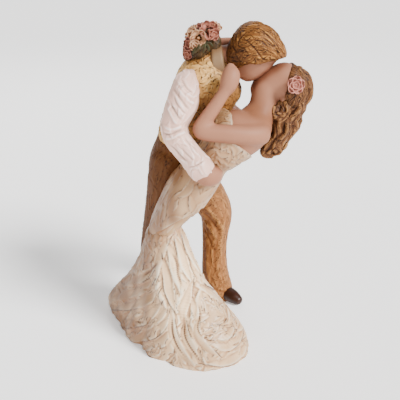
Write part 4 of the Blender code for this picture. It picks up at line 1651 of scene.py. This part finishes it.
    nick: Brush = Brush(
        3.4, 0.9, 0.45, 0.35, scatter=0.5, point=0.8, tilt=1.0, edge=0.5, line=0.4, wash=0.9, broken=0.3,
        vary=0.6, bend=0.8,
    )
    crackle: Brush = Brush(
        4.6, 2.2, 0.9, 3.2, scatter=3.0, tilt=1.0, edge=0.6, wash=0.9, broken=0.52, vary=0.6,
        bend=1.0,
    )
    fine_crackle: Brush = Brush(
        2.2, 1.1, 0.4, 0.3, scatter=3.0, tilt=1.0, edge=0.45, line=0.34, wash=0.9, broken=0.4, vary=0.6
    )
    linen: Brush = Brush(
        10.0, 3.0, 0.8, 1.9, scatter=0.35, point=0.7, tilt=0.95, edge=0.8, line=0.4, wash=0.4, broken=0.7,
        bend=0.8,
    )

    def hair_flow(self, points: Array) -> Array:
        """Hair is combed out from a whorl behind the crown, with a slight turn.

        Args:
            points: places in clay millimetres.

        Returns:
            A direction for each.
        """
        up, front = np.array(self.head.up), np.array(self.head.front)
        whorl = np.array(self.head.centre) + 16 * up - 12 * front
        way = unit(points - whorl)
        return unit(way + 0.35 * np.cross(way, up))

    def build(self, casting: Casting) -> None:
        """Fuses and carves his clothes, skin and hair.

        Args:
            casting: what they are added to.
        """
        pelvis = Loft(self.pelvis, GROOM_LEFT, 80, 12, power=2.2).shell()
        legs = [Limb(rows, 56, 12) for rows in (self.near_leg, self.far_leg)]
        trousers = CLAY["trousers"].carving([pelvis, *(leg.shell() for leg in legs)])
        flow = along([leg.axis() for leg in legs])
        for width, height, path in self.leg_folds:
            trousers.ridge(FRONT.draw(trousers.tree, path), width, 0.7 * height)
        # The folds lie under the strokes, which would level them, so they are added last
        folds = trousers.height.copy()
        trousers.height[:] = 0
        trousers.lay(self.cloth, flow)
        trousers.lay(self.nick, flow)
        trousers.height += folds
        skin = trousers.finish()
        # The tint paints shade on his near leg, on the side away from the light
        skin.tint = smooth_step((-8 - skin.points[:, 0]) / 14) * 0.75
        casting.add("trousers", skin, TAN, Slot.TROUSERS)
        torso = Loft(self.waistcoat, GROOM_LEFT, 110, 14, power=2.3).shell()
        waistcoat = CLAY["waistcoat"].carving([torso])
        waistcoat.lay(self.crackle, any_way(5))
        waistcoat.lay(self.fine_crackle, any_way(6))
        skin = waistcoat.finish()
        # The tint paints shade at those spots
        skin.tint = np.clip(spots(skin.points, FRONT.solid(self.waistcoat_shade_spots), 12), 0, 0.9)
        casting.add("waistcoat", skin, GOLD, Slot.WAISTCOAT)
        sleeve, cuff = (
            Limb(FRONT.solid(rows).tolist(), 48, 12) for rows in (self.near_sleeve, self.near_cuff)
        )
        near = CLAY["near_sleeve"].carving([sleeve.shell(), cuff.shell()])
        near.lay(self.linen, along([sleeve.axis()]))
        for width, height, path in self.near_folds:
            near.ridge(FRONT.draw(near.tree, path), 0.75 * width, 0.65 * height, 0.5 if height < 0 else 0.0)
        casting.add("near_sleeve", near.finish(), WHITE, Slot.SHIRT)
        sleeve, cuff = Limb(self.far_sleeve, 48, 12), Limb(self.far_cuff, 48, 12, (0.2, 0.2))
        far = CLAY["far_sleeve"].carving([sleeve.shell(), cuff.shell()])
        far.lay(self.linen, along([sleeve.axis()]))
        casting.add("far_sleeve", far.finish(1), WHITE, Slot.SHIRT)
        for name, bodies, paint, slot in (
            ("collar", [Limb(self.collar, 48, 12, (0.2, 0.2)).shell()], LINEN, Slot.SHIRT),
            ("groom_face_and_neck", [self.head.skull(), Limb(self.neck).shell()], FLESH, Slot.SKIN),
            ("groom_hands", [Limb(self.near_hand).shell(), Limb(self.far_hand).shell()], FLESH, Slot.SKIN),
            ("shoes", [Limb(rows, flat=0.95).shell() for rows in self.shoes], LEATHER, Slot.SHOE),
        ):
            casting.add(name, CLAY[name].carving(bodies).finish(), paint, slot)
        hair = CLAY["groom_hair"].carving([self.head.hair()])
        flow = drawn(hair.draw(self.combed), 9.0, self.hair_flow)
        hair.lay(self.strand, flow)
        hair.lay(self.hair_line, flow)
        for path in self.parting:
            hair.ridge(FRONT.draw(hair.tree, path), 0.6, -0.7, 0.8)
        skin = hair.finish()
        # The tint paints shade over the back of his hair towards the nape, away from the light
        nape = FRONT.solid([(232, 54, -12)])[0]
        skin.tint = 0.8 * smooth_step(1.35 - np.linalg.norm(skin.points - nape, axis=1) / 15)
        casting.add("groom_hair", skin, STRANDS, Slot.HAIR)


@dataclass(frozen=True)
class Rose:
    """An opened rose: rings of cupped petals, more upright towards its heart."""

    place: Sequence[float]  # drawn, with its depth Y
    out: Sequence[float]
    radius: float
    rings: int = 2
    petals: int = 5
    hollow: float = 0.3

    def centre(self) -> Array:
        """Its middle in clay millimetres."""
        return FRONT.solid([self.place])[0]

    def petal(self, turn: float, reach: float, rise: float, spread: float) -> Shell:
        """A bowed sheet that leans out and rounds off at its rim.

        At share s of its height it stands reach * (0.3 + 0.7 s^0.7) off the rose's axis, and its
        sides stand higher than its middle.

        Args:
            turn: where it stands round the rose.
            reach: how far out its rim is.
            rise: how high its rim is.
            spread: half the arc that it spans.

        Returns:
            The closed petal, 1 mm thick at its foot.
        """
        way = unit(np.array(self.out, float))
        side = unit(np.cross(way, (0.1, 0.0, 1.0)))
        other = np.cross(way, side)
        s = np.linspace(0, 1, 9)[:, None]
        arc = spread * np.sqrt(np.maximum(1 - ((s - 0.45) / 0.58) ** 2, 0.04))
        sweep = np.concatenate([np.linspace(-1, 1, 10), np.linspace(1, -1, 10)])[None]
        thick = np.concatenate([np.full(10, 0.5), np.full(10, -0.5)])[None] * (1 - 0.3 * s)
        out = reach * (0.3 + 0.7 * s**0.7) + thick
        angle = turn + arc * sweep
        height = rise * (s - 0.25 * s**4) + self.hollow * reach * s * sweep**2
        rings = (
            self.centre()
            + side * (out * np.cos(angle))[..., None]
            + other * (out * np.sin(angle))[..., None]
            + way * height[..., None]
        )
        return ring_shell(rings, rings[0].mean(axis=0)[None], rings[-1].mean(axis=0)[None])

    def shells(self) -> list[Shell]:
        """Sets rings of petals round an egg-shaped heart.

        Returns:
            The heart and the petals, inner ring first.
        """
        heart = (self.radius * 0.24, self.radius * 0.24, self.radius * 0.45)
        found = [egg(self.centre(), heart, self.out, (0.7, 0.1, 0.7))]
        for k in range(self.rings):
            share = (k + 1) / self.rings
            for i in range(self.petals):
                turn = 2 * math.pi * (i + 0.5 * k) / self.petals + self.radius
                rise = self.radius * (0.8 - 0.5 * share)
                found.append(self.petal(turn, self.radius * (0.15 + share), rise, 0.7))
        return found


@dataclass
class Flowers:
    """The bouquet behind his shoulders, and the rose in her hair."""

    roses: Sequence[Rose] = (
        Rose((209, 30, 1), (0.1, -0.85, 0.5), 6.6, 1),
        Rose((215.5, 26, 8), (0.5, -0.4, 0.8), 4.4),
        Rose((190, 42.5, 0), (-0.6, -0.8, 0.1), 4.4),
        Rose((198.5, 37, -2), (-0.1, -0.95, 0.3), 5.4, 1),
        Rose((187.5, 48, 4), (-0.8, -0.6, -0.1), 3.6),
        Rose((192, 34, 3), (-0.6, -0.6, 0.5), 4.8),
        Rose((199.5, 27.5, 9), (-0.3, -0.4, 0.9), 4.6),
        Rose((207, 24.5, 14), (0.0, -0.1, 1.0), 4.2),
        Rose((191, 38, 14), (-0.9, 0.3, 0.4), 5.0),
        Rose((200, 28, 20), (-0.2, 0.6, 0.8), 5.0),
        Rose((212, 29, 20), (0.4, 0.7, 0.7), 5.0),
        Rose((195.5, 44, -4), (-0.2, -0.95, 0.0), 3.8),
        Rose((188, 53, 0), (-0.5, -0.85, -0.1), 3.4),
        Rose((193, 28.5, 6), (-0.5, -0.4, 0.8), 3.6),
        Rose((213.5, 33.5, 0), (0.3, -0.9, 0.2), 3.8),
    )
    hair_rose: Rose = Rose((296, 84, -13.5), (0.1, -0.97, 0.2), 5.9, 3)
    leaves: Sequence[Rows] = (
        ((204, 42, -5), (201, 46, -7), (198, 50, -8)),
        ((204, 42, -5), (204, 47, -8), (203, 52, -9)),
        ((205, 42, -5), (208, 46, -7), (209, 50, -8)),
        ((205, 41, -5), (210, 42, -6), (213, 45, -6)),
        ((195, 46, -5), (194, 50, -8), (192, 54, -8)),
        ((199, 43, -6), (198, 47, -8), (195, 52, -9)),
    )
    stems: Sequence[Rows] = (
        ((212, 33, 8, 3.6), (216, 40, 8, 3.6), (215, 47, 6, 3.0)),
        ((190, 44, 8, 4.5), (188, 51, 7, 3.8), (187, 56, 6, 2.6)),
        ((204, 36, 8, 8.5), (202, 44, 6, 8.0), (199, 52, 4, 5.5)),
    )

    fibre: Brush = Brush(4.0, 0.9, 0.9, 2.5, tilt=0.5, crown=0.8, line=0.45)

    def leaf(self, rows: Rows) -> Shell:
        """A pointed leaf, 1.2 mm thick.

        Args:
            rows: three drawn places, with their depths Y.

        Returns:
            The closed leaf.
        """
        base = FRONT.solid(rows)
        wide = (0.7, 1.6, 0.4)
        stations = [(*place, w, 0.6, w, 0.6) for place, w in zip(base, wide)]
        return Loft(stations, ((0.8, -0.5, 0.1), (0.8, -0.5, 0.1)), 16, 6, (0.4, 0.4)).shell()

    def build(self, casting: Casting) -> None:
        """Makes the blossoms, the leaves and stems under them, and the rose.

        Args:
            casting: what they are added to.
        """
        pink, cream = self.roses[::2], self.roses[1::2]
        for name, roses, paint in (
            ("bouquet_pink_blossoms", pink, PETAL),
            ("bouquet_cream_blossoms", cream, CREAM),
            ("hair_rose", (self.hair_rose,), BLUSH),
        ):
            blossoms = CLAY["blossoms"].carving([shell for rose in roses for shell in rose.shells()])
            skin = blossoms.skin
            hearts = [np.linalg.norm(skin.points - rose.centre(), axis=1) / rose.radius for rose in roses]
            if len(roses) > 1:
                skin.tint = smooth_step((0.5 - np.min(hearts, axis=0)) / 0.3)
            # Petal rims get painted highlight and the valleys between petals painted shade
            casting.add(name, blossoms.finish(valley=0.35), paint, Slot.BLOSSOM)
        leaves = CLAY["bouquet_leaves"].carving([self.leaf(rows) for rows in self.leaves])
        casting.add("bouquet_leaves", leaves.finish(), LEAF, Slot.LEAF)
        stems = [Limb(FRONT.solid(rows).tolist()) for rows in self.stems]
        bound = CLAY["bouquet_stems"].carving([stem.shell() for stem in stems])
        bound.lay(self.fibre, along([stem.axis() for stem in stems]))
        casting.add("bouquet_stems", bound.finish(), STEM, Slot.LEAF)


@dataclass
class Studio:
    """A white table, soft studio light and the camera."""

    distance: float = 0.5  # m
    sensor: float = 36.0  # mm
    table: float = 3.0  # half its width, m
    glow: float = 0.4
    lit: tuple[float, float, float] = (0.0, 0.0, 0.14)  # where the lamps point, m
    lamps: Sequence[tuple[str, str, tuple[float, float, float], float, float]] = (
        ("key", "SUN", (0.80, -0.55, 0.95), 0.35, 7.6),
        ("fill", "AREA", (-0.6, -0.9, 0.5), 0.9, 3.4),
        ("back", "AREA", (-0.2, 0.9, 0.9), 0.8, 6.0),
    )
    horizon: float = 1.2
    zenith: float = 0.24
    haze: tuple[float, float] = (0.15, 0.4)  # heights between which the sky goes from one to the other

    def build(self) -> None:
        """Sets the camera, the floor, the lights and the world."""
        scene = bpy.context.scene
        data = bpy.data.cameras.new("camera")
        camera = bpy.data.objects.new("camera", data)
        scene.collection.objects.link(camera)
        data.sensor_width = self.sensor
        data.lens = FRONT.focal / (2 * FRONT.middle) * self.sensor
        data.clip_start = 0.01
        aim = Vector(to_metres(np.array([0.0, 0.0, FRONT.aim])))
        rise = math.radians(FRONT.rise)
        camera.location = aim + Vector((0.0, -math.cos(rise), math.sin(rise))) * self.distance
        camera.rotation_euler = (aim - camera.location).to_track_quat("-Z", "Y").to_euler()
        scene.camera = camera
        floor_mesh = bpy.data.meshes.new("floor")
        corners = [(-1, -1, 0), (1, -1, 0), (1, 1, 0), (-1, 1, 0)]
        floor_mesh.from_pydata((np.array(corners) * self.table).tolist(), [], [(0, 1, 2, 3)])
        floor = bpy.data.objects.new("floor", floor_mesh)
        scene.collection.objects.link(floor)
        white = bpy.data.materials.new("white_table")
        white.use_nodes = True
        for name, value in (
            ("Base Color", linear("#f7f6f5")),
            ("Roughness", 0.9),
            ("Emission Color", linear("#ffffff")),
            ("Emission Strength", self.glow),
        ):
            white.node_tree.nodes["Principled BSDF"].inputs[name].default_value = value
        floor_mesh.materials.append(white)
        for name, kind, place, size, power in self.lamps:
            lamp = bpy.data.lights.new(name, kind)
            lamp.energy = power
            if isinstance(lamp, bpy.types.SunLight):
                lamp.angle = size
            else:
                lamp.size = size
            light = bpy.data.objects.new(name, lamp)
            scene.collection.objects.link(light)
            light.location = place
            light.rotation_euler = (Vector(self.lit) - light.location).to_track_quat("-Z", "Y").to_euler()
        world = bpy.data.worlds.new("studio")
        world.use_nodes = True
        tree = world.node_tree
        tree.nodes["Background"].inputs["Color"].default_value = linear("#ffffff")
        toward = add_node(tree, "ShaderNodeTexCoord").outputs["Generated"]
        height = add_node(tree, "ShaderNodeSeparateXYZ", {0: toward}).outputs["Z"]
        ends = {
            "Value": height,
            "From Min": self.haze[0],
            "From Max": self.haze[1],
            "To Min": self.horizon,
            "To Max": self.zenith,
        }
        sky = add_node(tree, "ShaderNodeMapRange", ends, interpolation_type="SMOOTHSTEP")
        tree.links.new(sky.outputs["Result"], tree.nodes["Background"].inputs["Strength"])
        scene.world = world


def main() -> None:
    logging.basicConfig(level=logging.INFO, format="%(message)s")
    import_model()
    Studio().build()
    casting = Casting()
    Dress().build(casting)
    Bride().build(casting)
    Groom().build(casting)
    Flowers().build(casting)
    casting.place()
    LOG.info("%d pieces, %d faces", len(casting.pieces), sum(len(p.skin.quads) for p in casting.pieces))


if __name__ == "__main__":
    main()
